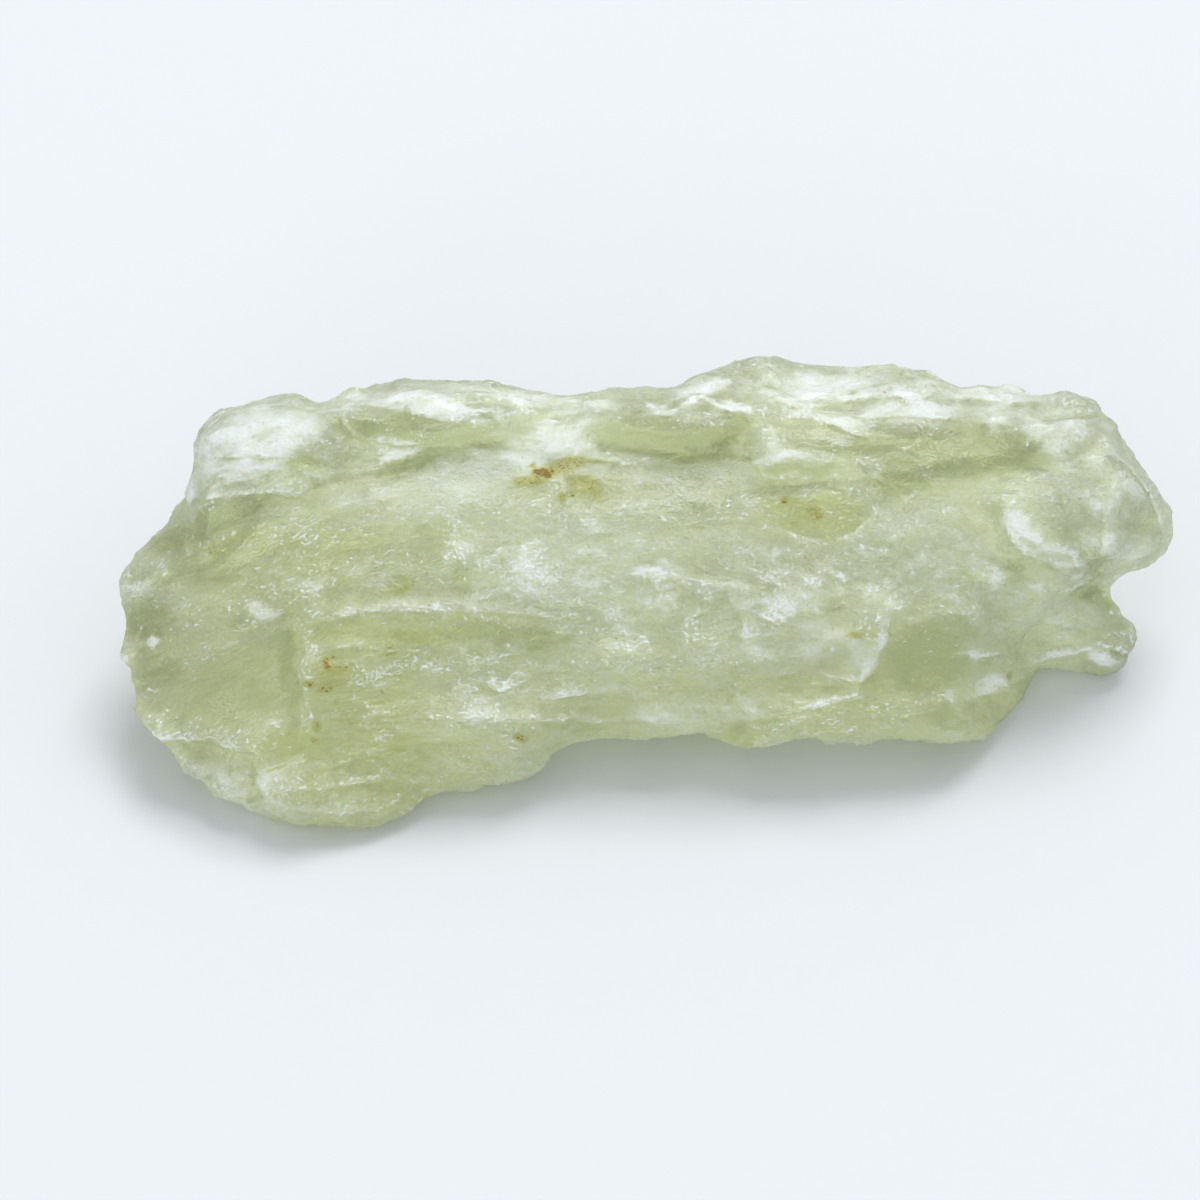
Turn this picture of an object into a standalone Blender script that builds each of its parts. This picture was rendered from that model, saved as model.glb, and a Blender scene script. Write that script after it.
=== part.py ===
"""One splinter of Libyan desert glass: a single solid of natural silica glass.

The piece is a long, wind-worn fragment that lies on its keeled underside.  It is modelled from
the view square to its broad face: u runs along the length, v up the face and w straight out of
the face, all in millimetres.  A slab with the outline of the face gets a front and a back height
at each point, and is then tipped back, stood on the ground and cut flat where its feet rest.
World axes: +X along the length, +Y away from the broad face, +Z up, in metres.
"""

import math

import bpy
import numpy as np
from mathutils import Matrix, Vector, noise

MM = 0.001

# ---------------------------------------------------------------- driving dimensions, millimetres
FACE_PITCH = math.radians(50.0)     # the face's normal stands this far above the horizon
FACE_HEIGHT = 7.6                   # height of the face's middle, u = v = 0, above the ground
RIM_LEAN = -0.176                   # the rim recedes by this much for each millimetre up the face
RIM_HALF = 0.8                      # half the thickness of the glass at its rim
SLAB_HALF = 1.5                     # half the thickness of the slab that is shaped
FIRST_VOXEL = 0.6
SECOND_VOXEL = 0.42
TRIANGLES = 9400                    # what the finished solid is thinned to

NODE_NAME = "glass_fragment"

# The outline of the broad face, clockwise from its left end.
OUTLINE = (
    # left end and rounded upper-left lobe
    (-31.6, 0.5), (-31.4, 1.4), (-29.9, 3.4), (-28.4, 5.2), (-27.7, 6.0), (-27.5, 7.1),
    (-27.1, 8.0), (-27.3, 9.3), (-26.9, 10.2), (-25.8, 11.1), (-23.4, 11.8), (-21.4, 12.4),
    # top edge: low swell, saddle, peak, long straight shelf, two small swells
    (-20.0, 11.9), (-17.7, 12.5), (-14.5, 13.3), (-12.3, 13.4), (-10.0, 13.4), (-7.2, 12.7),
    (-4.5, 12.2), (-2.4, 12.7), (0.3, 12.9), (1.6, 12.7), (3.3, 13.5), (5.4, 14.2), (7.4, 14.9),
    (8.5, 14.5), (12.9, 14.1), (17.1, 13.8), (18.6, 13.0), (20.7, 13.1), (22.5, 12.8),
    (24.0, 12.2), (25.4, 12.7), (26.7, 12.2),
    # right end: slanting facet, beak, notch
    (27.6, 11.1), (29.5, 8.5), (31.4, 6.3), (31.9, 5.3), (31.6, 4.4), (31.8, 3.4), (30.4, 2.0),
    (28.8, 1.3), (27.8, 0.7),
    # tongue, round toe and the corner behind it
    (28.7, -0.4), (29.6, -1.4), (30.0, -2.5), (29.1, -3.1), (29.1, -4.0), (27.9, -4.8),
    (26.8, -4.3), (25.0, -4.3), (23.9, -4.1), (22.8, -5.7), (21.9, -6.7), (20.4, -8.3),
    # bottom edge with its one drip, then the step down to the heel
    (18.3, -8.6), (15.9, -8.4), (12.9, -8.5), (9.3, -8.3), (7.6, -8.6), (6.2, -8.9), (5.2, -8.6),
    (4.2, -8.3), (2.4, -8.0), (0.3, -8.3), (-2.7, -8.5), (-5.1, -9.1), (-6.0, -9.9),
    (-6.6, -10.6), (-9.3, -11.2), (-11.7, -11.5), (-13.3, -11.9), (-14.0, -12.7), (-15.9, -13.2),
    (-17.0, -13.6), (-19.5, -13.2), (-21.9, -13.1), (-23.7, -12.6), (-25.4, -11.8),
    (-27.2, -10.4), (-28.5, -9.1), (-28.7, -8.4), (-29.8, -7.6), (-30.3, -6.7), (-30.5, -5.6),
    (-31.2, -3.6), (-31.3, -2.7), (-31.2, -1.3),
)

# How far the front stands out of the rim, going up the face: (v, height).
FRONT_PROFILE = ((-13.0, 3.0), (-10.0, 3.4), (-6.0, 4.1), (0.0, 5.0), (6.0, 5.2), (9.3, 4.5),
                 (11.0, 4.6), (13.2, 4.0))
FRONT_MIN = 0.3                     # the least that the front stands out of the rim
FRONT_RUN_TOP = 1.0                 # distance from the rim over which the front rises
FRONT_RUN_BOTTOM = 3.6
FRONT_RUN_LEVELS = (-8.0, 8.0)      # the heights v that these two distances belong to
FRONT_RUN_VARIES = (-0.5, 1.0)      # the least and most share by which the distance wanders

# Risers: the glass above (to the left of) each path stands higher by rise and falls back over
# reach; width is that of the riser itself.  (path, rise, width, reach)
FRONT_RISERS = (
    # under the upper-left lobe
    (((-30.3, 1.5), (-27.6, 3.3), (-24.9, 4.4), (-21.9, 5.2), (-19.5, 6.3), (-17.7, 7.8)),
     2.3, 1.3, 4.5),
    # under the top rim: left swell, middle swell, and the hook with the long right-hand shelf
    (((-18.0, 10.1), (-15.6, 9.3), (-12.9, 9.1), (-10.5, 9.4), (-8.4, 9.8), (-6.9, 10.8)),
     1.7, 1.0, 3.5),
    (((-3.3, 10.3), (-1.2, 9.4), (1.2, 9.1), (3.3, 8.7), (4.6, 9.4), (6.0, 10.3)),
     1.9, 1.1, 3.5),
    (((6.0, 10.8), (6.1, 8.9), (6.7, 7.4), (8.7, 7.1), (12.3, 7.3), (15.6, 6.7), (18.5, 7.4),
      (21.3, 7.8), (24.0, 7.9)), 1.7, 1.1, 4.0),
    (((7.8, 12.1), (9.3, 11.4), (12.3, 11.9), (14.1, 12.1), (17.1, 12.0), (21.3, 11.9)),
     0.9, 0.7, 2.0),
    # thin lip across the left of the middle, and two low steps beneath it
    (((-19.5, -1.9), (-15.0, -2.2), (-11.7, -2.5), (-7.5, -2.4), (-4.5, -2.6)), 1.0, 1.1, 4.0),
    (((-19.5, -5.6), (-13.0, -5.3), (-8.0, -6.1), (-1.0, -6.2), (5.0, -6.9)), 0.5, 0.7, 2.0),
    (((-3.0, -4.6), (3.0, -4.2), (9.0, -4.8), (12.9, -4.9)), 0.5, 0.8, 2.5),
    # fin beside the bowl, side of the square hollow, chip under the left end
    (((-20.9, -1.8), (-20.5, -7.3)), 0.9, 0.5, 3.0),
    (((13.4, -5.4), (13.6, -3.9), (14.4, -2.4), (14.6, -1.3)), 1.0, 0.7, 4.0),
    (((-29.1, -8.3), (-25.8, -8.5), (-23.7, -9.3), (-23.0, -11.4), (-21.6, -12.8)), 1.1, 0.6, 3.0),
    # fold at the right end, and the small steps of the middle face
    (((20.2, 5.6), (20.8, 3.4), (21.8, 1.9), (23.6, 1.1), (25.8, 0.5), (27.6, 0.6)), 1.2, 0.9, 4.0),
    (((5.4, 0.4), (5.6, -1.5), (5.2, -5.4)), 0.35, 0.5, 2.0),
    (((-17.5, 3.4), (-11.0, 4.6), (-4.5, 3.6), (1.0, 4.0)), 0.4, 0.7, 2.5),
    (((6.0, 4.4), (9.5, 3.7), (12.5, 4.4), (16.0, 4.0)), 0.45, 0.6, 2.5),
)

# Swells and hollows of the front: (centre, radii, height, turn in degrees).
FRONT_SWELLS = (
    ((-23.4, 9.4), (5.0, 2.8), 1.1, 12.0),      # upper-left lobe
    ((-14.7, 7.7), (2.0, 0.9), -0.8, 15.0),     # small hollow under the second crest
    ((-19.4, 7.9), (1.4, 1.0), -0.7, 10.0),     # small hollow at the lobe's end
    ((-25.0, -5.2), (4.6, 3.9), -0.9, 0.0),     # smooth bowl at the left
    ((17.9, -5.0), (3.6, 3.6), -1.0, 0.0),      # square hollow at the lower right
    ((24.9, 10.6), (2.6, 2.0), 1.0, 0.0),       # boss at the upper right
    ((22.8, 8.4), (1.6, 0.8), -0.7, 0.0),       # hollow under the boss
    ((7.9, 8.9), (2.2, 1.7), 0.5, 0.0),         # cream lump inside the hook
    ((15.2, 10.7), (5.5, 0.9), 0.6, -3.0),      # row of lumps on the upper shelf
    ((-19.0, -11.4), (5.5, 2.2), 0.9, -4.0),    # thick lip of the heel
    ((-3.0, 3.0), (9.0, 3.2), 0.5, 4.0),        # broad swell of the middle face
    ((8.0, 1.0), (5.0, 2.5), 0.4, -6.0),
    ((-10.0, -7.0), (6.0, 1.2), 0.5, 4.0),
    ((3.0, -5.2), (7.0, 1.0), -0.4, -2.0),
)

# Ridges stand out and grooves are sunk along a path: (path, height, half width).
FRONT_RIDGES = (
    (((7.2, 14.4), (7.8, 13.0), (9.3, 11.5)), 0.9, 0.7),
    (((27.3, 8.7), (29.1, 7.2), (30.9, 4.2)), 0.5, 0.6),
    (((24.0, -3.7), (28.6, -3.8)), 0.8, 0.7),
    (((23.5, -2.7), (26.1, -2.5), (29.0, -2.8)), -0.9, 0.5),
    (((-27.6, 0.8), (-22.0, 3.0), (-18.0, 4.8)), -0.5, 1.0),
    (((-29.5, -3.0), (-29.0, -6.0)), 0.4, 0.7),
)

# Flat chips: inside the oval the front is drawn to a plane. (centre, radii, slope u, slope v, pull)
FACET_EDGE = 1.6                    # how sharply a flat chip ends; larger is sharper
FRONT_FACETS = (
    ((29.2, 4.6), (2.8, 4.0), -0.34, -0.10, 0.8),
    ((25.0, 4.4), (3.6, 2.6), -0.10, -0.35, 0.7),
    ((17.8, -4.6), (4.0, 3.6), 0.05, 0.32, 0.8),
    ((-25.0, -5.0), (4.4, 3.6), 0.05, 0.05, 0.8),
    ((-21.5, 10.8), (3.8, 1.5), -0.05, -0.60, 0.6),
    ((24.6, 10.2), (2.6, 1.9), -0.10, -0.45, 0.6),
    ((27.2, -1.6), (2.4, 1.6), -0.25, 0.25, 0.7),
    ((22.2, -5.4), (2.2, 2.6), -0.45, 0.10, 0.7),
    ((-26.2, -10.2), (3.0, 2.0), 0.10, -0.25, 0.7),
    ((11.0, 13.0), (3.0, 1.1), -0.05, -0.55, 0.7),
)

# The right end is twisted down to the toe, which rests on the ground: (centre, radii, drop).
TOE_TWIST = ((30.0, -7.0), (14.0, 13.5), 6.1)

# The back bulges from the rim by at most BACK_DEPTH, over about BACK_RUN, down to the ground.
BACK_DEPTH = 14.0
BACK_RUN = 6.0
BACK_MIN = 0.8
BACK_GROWN = 3.0                    # distance from the rim at which the back's forms are whole
KEEL_ROUNDING = 0.8                 # rounds the edge between the far side and the underside
CLEARANCE_LOW = 0.5                 # gap left under the keel between the feet
CLEARANCE_HIGH = 1.5
CLEARANCE_MEAN = 0.5                # share of the way from the low to the high gap
FEET = (                            # (centre, radii, reach) of the swells that touch the ground
    ((-18.0, -12.4), (7.0, 2.4), 1.8),      # heel, front left
    ((19.6, -5.0), (5.0, 3.2), 2.7),        # front right
    ((26.8, -3.9), (2.6, 1.5), 2.8),        # toe
    ((10.5, 0.8), (9.0, 3.2), 2.4),         # keel, back right
    ((-19.0, -0.4), (7.0, 3.0), 1.7),       # keel, back left
)
FOOT_CUT = 0.25                     # worn off flat below this height
BACK_RISERS = (
    (((-29.0, 4.0), (-20.0, 7.5), (-8.0, 6.5), (2.0, 8.2)), -1.5, 1.0, 5.0),
    (((-4.0, 4.0), (8.0, 5.5), (18.0, 3.5), (29.0, 4.5)), -1.4, 1.0, 5.0),
    (((12.0, 12.5), (14.0, 8.0), (13.0, 3.0)), 1.2, 0.8, 6.0),
    (((-14.0, 12.0), (-13.0, 8.0), (-16.0, 3.0)), -1.1, 0.8, 6.0),
)
BACK_SWELLS = (
    ((-22.0, 8.6), (5.0, 2.2), 1.2, 15.0),
    ((-6.0, 9.2), (6.0, 1.8), -1.1, -6.0),
    ((5.0, 10.6), (4.0, 2.0), 1.0, 10.0),
    ((22.0, 9.2), (4.0, 2.0), 0.9, -12.0),
    ((27.0, 5.0), (3.0, 3.0), -0.9, 0.0),
    ((0.0, -6.0), (9.0, 1.6), -0.7, 3.0),
    ((-27.0, -4.0), (3.0, 4.0), 0.8, 0.0),
)

# Worn flow banding: long soft waves, stretched along the length. (length, breadth, height, seed)
CLEARANCE_WAVES = ((9.0, 4.0, 0.6, 47.0), (3.0, 1.6, 0.4, 53.0))
FRONT_WAVES = ((7.0, 2.4, 0.40, 3.0), (3.6, 1.2, 0.26, 11.0))
BACK_WAVES = ((8.0, 3.2, 0.60, 23.0), (4.0, 1.8, 0.30, 31.0))
RIM_WAVES = ((7.0, 7.0, 2.2, 61.0), (3.0, 3.0, 0.9, 67.0))      # the rim's wander in depth
RIM_WANDER = 3.5                                                # how far in that wander reaches
RUN_WAVES = ((5.0, 3.0, 1.6, 71.0),)                            # how steep the front rises

# Shell-shaped flake scars meet in sharp arrises: (count, length, breadth, depth, seed).
FRONT_FLAKES = (70, 4.2, 1.7, 0.42, 5)
BACK_FLAKES = (60, 5.6, 3.2, 0.9, 17)
ROUND_SCARS = (150, 3.4, 0.9, 29)   # over the far side and ends: (count, radius, depth, seed)
SCAR_SIZES = (0.6, 1.4)             # the smallest and largest scar, as a share of the mean
SCAR_TURN = 0.25                    # how far scars turn from the length, in radians
SCAR_STRETCH = (0.45, 0.8)          # the most and least that a round scar is drawn out
SCARS_OFF_RIM = 1.1                 # round scars fade out this near to the outline
SCARS_OFF_GROUND = (1.2, 2.7)       # and between these heights above the ground


# ---------------------------------------------------------------- height fields, in millimetres
def smooth(x):
    """Go from 0 to 1 with level ends as x goes from 0 to 1."""
    x = np.clip(x, 0.0, 1.0)
    return x * x * (3.0 - 2.0 * x)


def smooth_ring(points, steps):
    """Return a closed Catmull-Rom curve through the points."""
    p1 = np.array(points, dtype=float)
    p0 = np.roll(p1, 1, axis=0)
    p2 = np.roll(p1, -1, axis=0)
    p3 = np.roll(p1, -2, axis=0)
    rows = []
    for step in range(steps):
        t = step / steps
        rows.append(0.5 * (2.0 * p1 + (p2 - p0) * t + (2.0 * p0 - 5.0 * p1 + 4.0 * p2 - p3) * t**2
                           + (3.0 * p1 - p0 - 3.0 * p2 + p3) * t**3))
    return np.stack(rows, axis=1).reshape(-1, 2)


def from_path(path, u, v):
    """Return each point's distance from an open path, its side (+1 left) and its overshoot."""
    path = np.array(path, dtype=float)
    best = np.full(u.shape, 1e9)
    side = np.ones(u.shape)
    over = np.zeros(u.shape)
    last = len(path) - 2
    for index in range(last + 1):
        a, b = path[index], path[index + 1]
        along = b - a
        length = math.hypot(*along)
        du, dv = u - a[0], v - a[1]
        t = (du * along[0] + dv * along[1]) / length**2
        held = np.clip(t, 0.0, 1.0)
        gap = np.hypot(du - held * along[0], dv - held * along[1])
        nearer = gap < best
        past = np.zeros(u.shape)
        if index == 0:
            past = np.maximum(past, -t * length)
        if index == last:
            past = np.maximum(past, (t - 1.0) * length)
        best = np.where(nearer, gap, best)
        side = np.where(nearer, np.where(along[0] * dv - along[1] * du >= 0.0, 1.0, -1.0), side)
        over = np.where(nearer, past, over)
    return best, side, over


def riser(path, rise, width, reach, u, v):
    """A step up to the left of a path, whose top falls back to the old surface over reach."""
    gap, side, over = from_path(path, u, v)
    signed = gap * side
    fade_length = 2.5
    top = smooth(signed / width) * np.exp(-np.maximum(signed - width, 0.0) / reach)
    return rise * top * (1.0 - smooth(over / fade_length))


def swell(centre, radii, height, turn, u, v):
    """An oval swell, or a hollow where height is negative."""
    c, s = math.cos(math.radians(turn)), math.sin(math.radians(turn))
    du, dv = u - centre[0], v - centre[1]
    across = ((c * du + s * dv) / radii[0])**2 + ((c * dv - s * du) / radii[1])**2
    return height * np.clip(1.0 - across, 0.0, 1.0)**2 * (1.0 + across)


def ridge(path, height, half_width, u, v):
    """A rounded ridge along a path, or a groove where height is negative."""
    gap, _, over = from_path(path, u, v)
    fade_length = 1.5
    return height * np.exp(-(gap / half_width)**2) * (1.0 - smooth(over / fade_length))


def waves(bands, u, v):
    """Sum of noise bands that are stretched along the length."""
    total = np.zeros(u.shape)
    for length, breadth, height, seed in bands:
        total += height * np.array([noise.noise(Vector((a / length, b / breadth, seed)))
                                    for a, b in zip(u, v)])
    return total


def flakes(count, length, breadth, depth, seed, u, v):
    """Depth of shell-shaped scars scattered over the face, the deepest one at each point."""
    random = np.random.default_rng(seed)
    half_u, half_v = np.abs(OUTLINE).max(axis=0)
    scar = np.zeros(u.shape)
    for _ in range(count):
        cu, cv = random.uniform(-half_u, half_u), random.uniform(-half_v, half_v)
        size, turn = random.uniform(*SCAR_SIZES), random.normal(0.0, SCAR_TURN)
        du, dv = u - cu, v - cv
        along = (math.cos(turn) * du + math.sin(turn) * dv) / (length * size)
        across = (math.cos(turn) * dv - math.sin(turn) * du) / (breadth * size)
        scar = np.maximum(scar, depth * size * (1.0 - along**2 - across**2))
    return scar


def rim_height(u, v, inset):
    """Height w of the middle of the rim, which wanders, and drops away at the toe."""
    centre, radii, drop = TOE_TWIST
    wander = waves(RIM_WAVES, u, v) * (1.0 - smooth(inset / RIM_WANDER))
    return RIM_LEAN * v - swell(centre, radii, drop, 0.0, u, v) + wander


def front_height(u, v, inset):
    """How far the front stands out of the rim; inset is the distance from the outline."""
    levels = np.array(FRONT_PROFILE)
    height = np.interp(v, levels[:, 0], levels[:, 1])
    for path, rise, width, reach in FRONT_RISERS:
        height += riser(path, rise, width, reach, u, v)
    for centre, radii, rise, turn in FRONT_SWELLS:
        height += swell(centre, radii, rise, turn, u, v)
    for path, rise, half_width in FRONT_RIDGES:
        height += ridge(path, rise, half_width, u, v)
    height += waves(FRONT_WAVES, u, v) - flakes(*FRONT_FLAKES, u, v)
    for centre, radii, slope_u, slope_v, pull in FRONT_FACETS:
        du, dv = u - centre[0], v - centre[1]
        inside = smooth(FACET_EDGE * (1.0 - np.hypot(du / radii[0], dv / radii[1])))
        level = float(np.sum(height * inside) / max(np.sum(inside), 1e-6))
        plane = level + slope_u * du + slope_v * dv
        height += pull * inside * (plane - height)
    run = np.interp(v, FRONT_RUN_LEVELS, (FRONT_RUN_BOTTOM, FRONT_RUN_TOP))
    run = run * (1.0 + np.clip(waves(RUN_WAVES, u, v), *FRONT_RUN_VARIES))
    rise = 1.0 - np.exp(-inset / run)
    return RIM_HALF + np.maximum(height - RIM_HALF, FRONT_MIN) * rise


def back_height(u, v, inset):
    """How far the back stands out of the rim, held off the ground except at the feet."""
    height = BACK_DEPTH * (1.0 - np.exp(-inset / BACK_RUN))
    grown = smooth(inset / BACK_GROWN)
    for path, rise, width, reach in BACK_RISERS:
        height += grown * riser(path, rise, width, reach, u, v)
    for centre, radii, rise, turn in BACK_SWELLS:
        height += grown * swell(centre, radii, rise, turn, u, v)
    height += grown * (waves(BACK_WAVES, u, v) - flakes(*BACK_FLAKES, u, v))
    share = np.clip(CLEARANCE_MEAN + waves(CLEARANCE_WAVES, u, v), 0.0, 1.0)
    clearance = CLEARANCE_LOW + (CLEARANCE_HIGH - CLEARANCE_LOW) * share
    for centre, radii, reach in FEET:
        foot = swell(centre, radii, reach, 0.0, u, v)
        clearance -= foot
        height += foot
    ground = -(v * math.cos(FACE_PITCH) + FACE_HEIGHT) / math.sin(FACE_PITCH)
    room = rim_height(u, v, inset) - ground - clearance / math.sin(FACE_PITCH)
    height = -KEEL_ROUNDING * np.logaddexp(-height / KEEL_ROUNDING, -room / KEEL_ROUNDING)
    return np.maximum(height, BACK_MIN)


# ---------------------------------------------------------------- building the solid
def clear_scene():
    """Start from an empty scene."""
    for old in list(bpy.data.objects):
        bpy.data.objects.remove(old, do_unlink=True)


def to_mesh_object(source, name, collection):
    """Bake an object as the viewport shows it into a new mesh object, and remove the old one."""
    bpy.context.view_layer.update()
    evaluated = source.evaluated_get(bpy.context.evaluated_depsgraph_get())
    mesh = bpy.data.meshes.new_from_object(evaluated)
    baked = bpy.data.objects.new(name, mesh)
    collection.objects.link(baked)
    baked.matrix_world = source.matrix_world
    bpy.data.objects.remove(source, do_unlink=True)
    return baked


def add_remesh(target, voxel):
    """Add a voxel remesh of the given grain in millimetres."""
    remesh = target.modifiers.new("even_grain", "REMESH")
    remesh.mode = "VOXEL"
    remesh.voxel_size = voxel * MM
    return remesh


def outline_slab(ring, collection):
    """Make a closed slab with the outline of the broad face."""
    curve = bpy.data.curves.new("face_outline", "CURVE")
    curve.dimensions = "2D"
    curve.fill_mode = "BOTH"
    curve.extrude = SLAB_HALF * MM
    spline = curve.splines.new("POLY")
    spline.points.add(len(ring) - 1)
    for point, (u, v) in zip(spline.points, ring):
        point.co = (u * MM, v * MM, 0.0, 1.0)
    spline.use_cyclic_u = True
    outline = bpy.data.objects.new("face_outline", curve)
    collection.objects.link(outline)
    slab = to_mesh_object(outline, "slab", collection)
    weld = slab.modifiers.new("close_caps", "WELD")
    weld.merge_threshold = 0.00001
    add_remesh(slab, FIRST_VOXEL)
    return to_mesh_object(slab, "slab", collection)


def inset_from(ring, u, v):
    """Distance of each point from the outline."""
    nearest = np.full(u.shape, 1e9)
    for a, b in zip(ring, np.roll(ring, -1, axis=0)):
        along = b - a
        square = max(float(along @ along), 1e-12)
        t = np.clip(((u - a[0]) * along[0] + (v - a[1]) * along[1]) / square, 0.0, 1.0)
        nearest = np.minimum(nearest, np.hypot(u - a[0] - t * along[0], v - a[1] - t * along[1]))
    return nearest


def shape_slab(slab, ring):
    """Give the slab its front and back heights, and tip it back onto the ground."""
    mesh = slab.data
    points = np.empty(len(mesh.vertices) * 3)
    mesh.vertices.foreach_get("co", points)
    points = points.reshape(-1, 3) / MM
    u, v, through = points[:, 0], points[:, 1], np.clip(points[:, 2] / SLAB_HALF, -1.0, 1.0)
    inset = inset_from(ring, u, v)
    front = front_height(u, v, inset)
    back = back_height(u, v, inset)
    w = rim_height(u, v, inset) + np.where(through > 0.0, through * front, through * back)
    sine, cosine = math.sin(FACE_PITCH), math.cos(FACE_PITCH)
    world = np.stack((u, v * sine - w * cosine, v * cosine + w * sine + FACE_HEIGHT), axis=1) * MM
    mesh.vertices.foreach_set("co", world.ravel())
    mesh.update()


def scar_far_side(target, ring):
    """Flake the far side and ends in the round, and leave the broad face's outline as it is."""
    count, radius, depth, seed = ROUND_SCARS
    random = np.random.default_rng(seed)
    mesh = target.data
    points = np.array([vertex.co[:] for vertex in mesh.vertices]) / MM
    normals = np.array([vertex.normal[:] for vertex in mesh.vertices])
    toward_face = np.array((0.0, -math.cos(FACE_PITCH), math.sin(FACE_PITCH)))
    turned_away = smooth(-0.25 - 3.3 * normals @ toward_face)
    above_middle = points[:, 2] - FACE_HEIGHT
    up_face = points[:, 1] * math.sin(FACE_PITCH) + above_middle * math.cos(FACE_PITCH)
    off_rim = smooth(inset_from(ring, points[:, 0], up_face) / SCARS_OFF_RIM)
    backward = smooth(3.0 * normals[:, 1] - 0.75) * off_rim
    hidden = np.maximum(turned_away, backward)
    low, high = SCARS_OFF_GROUND
    off_ground = smooth((points[:, 2] - low) / (high - low))
    scar = np.zeros(len(points))
    for home in random.choice(len(points), count):
        size = random.uniform(*SCAR_SIZES)
        stretch = np.array((random.uniform(*SCAR_STRETCH), 1.0, 1.0))
        gap = np.linalg.norm((points - points[home]) * stretch, axis=1) / (radius * size)
        scar = np.maximum(scar, depth * size * (1.0 - gap**2))
    moved = points - normals * (scar * hidden * off_ground)[:, None]
    mesh.vertices.foreach_set("co", (moved * MM).ravel())
    mesh.update()


def thin_out(target, triangles):
    """Collapse the mesh to about the given number of triangles."""
    target.data.calc_loop_triangles()
    decimate = target.modifiers.new("thin_out", "DECIMATE")
    decimate.ratio = min(1.0, triangles / len(target.data.loop_triangles))


def ground_block(collection):
    """A cutter that wears the feet flat, FOOT_CUT above the ground."""
    bpy.ops.mesh.primitive_cube_add(size=1.0)
    block = bpy.context.active_object
    block.name = "ground_cutter"
    side, deep = 0.12, 0.02
    block.data.transform(Matrix.Translation((0.0, 0.0, -deep / 2 + FOOT_CUT * MM))
                         @ Matrix.Diagonal((side, side, deep, 1.0)))
    for home in list(block.users_collection):
        home.objects.unlink(block)
    collection.objects.link(block)
    block.hide_render = True
    block.display_type = "WIRE"
    return block


def stand_on_origin(target):
    """Centre the piece over the origin, with its feet at z = 0."""
    corners = np.array([vertex.co[:] for vertex in target.data.vertices])
    low, high = corners.min(axis=0), corners.max(axis=0)
    middle = (low + high) / 2
    target.data.transform(Matrix.Translation((-middle[0], -middle[1], -low[2])))


def desert_glass():
    """Pale yellow-green silica glass with a satin, wind-worn skin."""
    material = bpy.data.materials.new("desert_glass")
    material.use_nodes = True
    shader = material.node_tree.nodes["Principled BSDF"]
    shader.inputs["Base Color"].default_value = (0.62, 0.66, 0.42, 1.0)
    shader.inputs["Roughness"].default_value = 0.35
    shader.inputs["Metallic"].default_value = 0.0
    shader.inputs["IOR"].default_value = 1.46
    shader.inputs["Transmission Weight"].default_value = 0.7
    return material


def main():
    """Build the fragment as one closed solid."""
    clear_scene()
    scene = bpy.context.scene
    specimen = bpy.data.collections.new("libyan_desert_glass")
    cutters = bpy.data.collections.new("cutters")
    scene.collection.children.link(specimen)
    scene.collection.children.link(cutters)

    ring = smooth_ring(OUTLINE, 4)
    slab = outline_slab(ring, specimen)
    shape_slab(slab, ring)

    add_remesh(slab, SECOND_VOXEL)
    relax = slab.modifiers.new("wind_worn", "SMOOTH")
    relax.factor = 0.5
    relax.iterations = 2
    rough = to_mesh_object(slab, "rough_fragment", specimen)
    scar_far_side(rough, ring)
    thin_out(rough, TRIANGLES)

    wear = rough.modifiers.new("worn_feet", "BOOLEAN")
    wear.operation = "DIFFERENCE"
    wear.object = ground_block(cutters)
    fragment = to_mesh_object(rough, NODE_NAME, specimen)
    stand_on_origin(fragment)

    fragment.data.materials.clear()
    fragment.data.materials.append(desert_glass())
    fragment.data.shade_smooth()


main()
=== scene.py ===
"""Libyan desert glass: the finished look of one wind-worn fragment of natural silica glass.

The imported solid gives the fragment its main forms.  Here it gets a fine mesh with the ledges,
shell-shaped scars, flow bands and pits of real desert glass, and a see-through, satin finish.
Places on the broad face are given in millimetres as (u, v): u along the length, v up the face.
"""

import math

import bpy
import numpy as np
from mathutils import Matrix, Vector, noise


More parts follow.
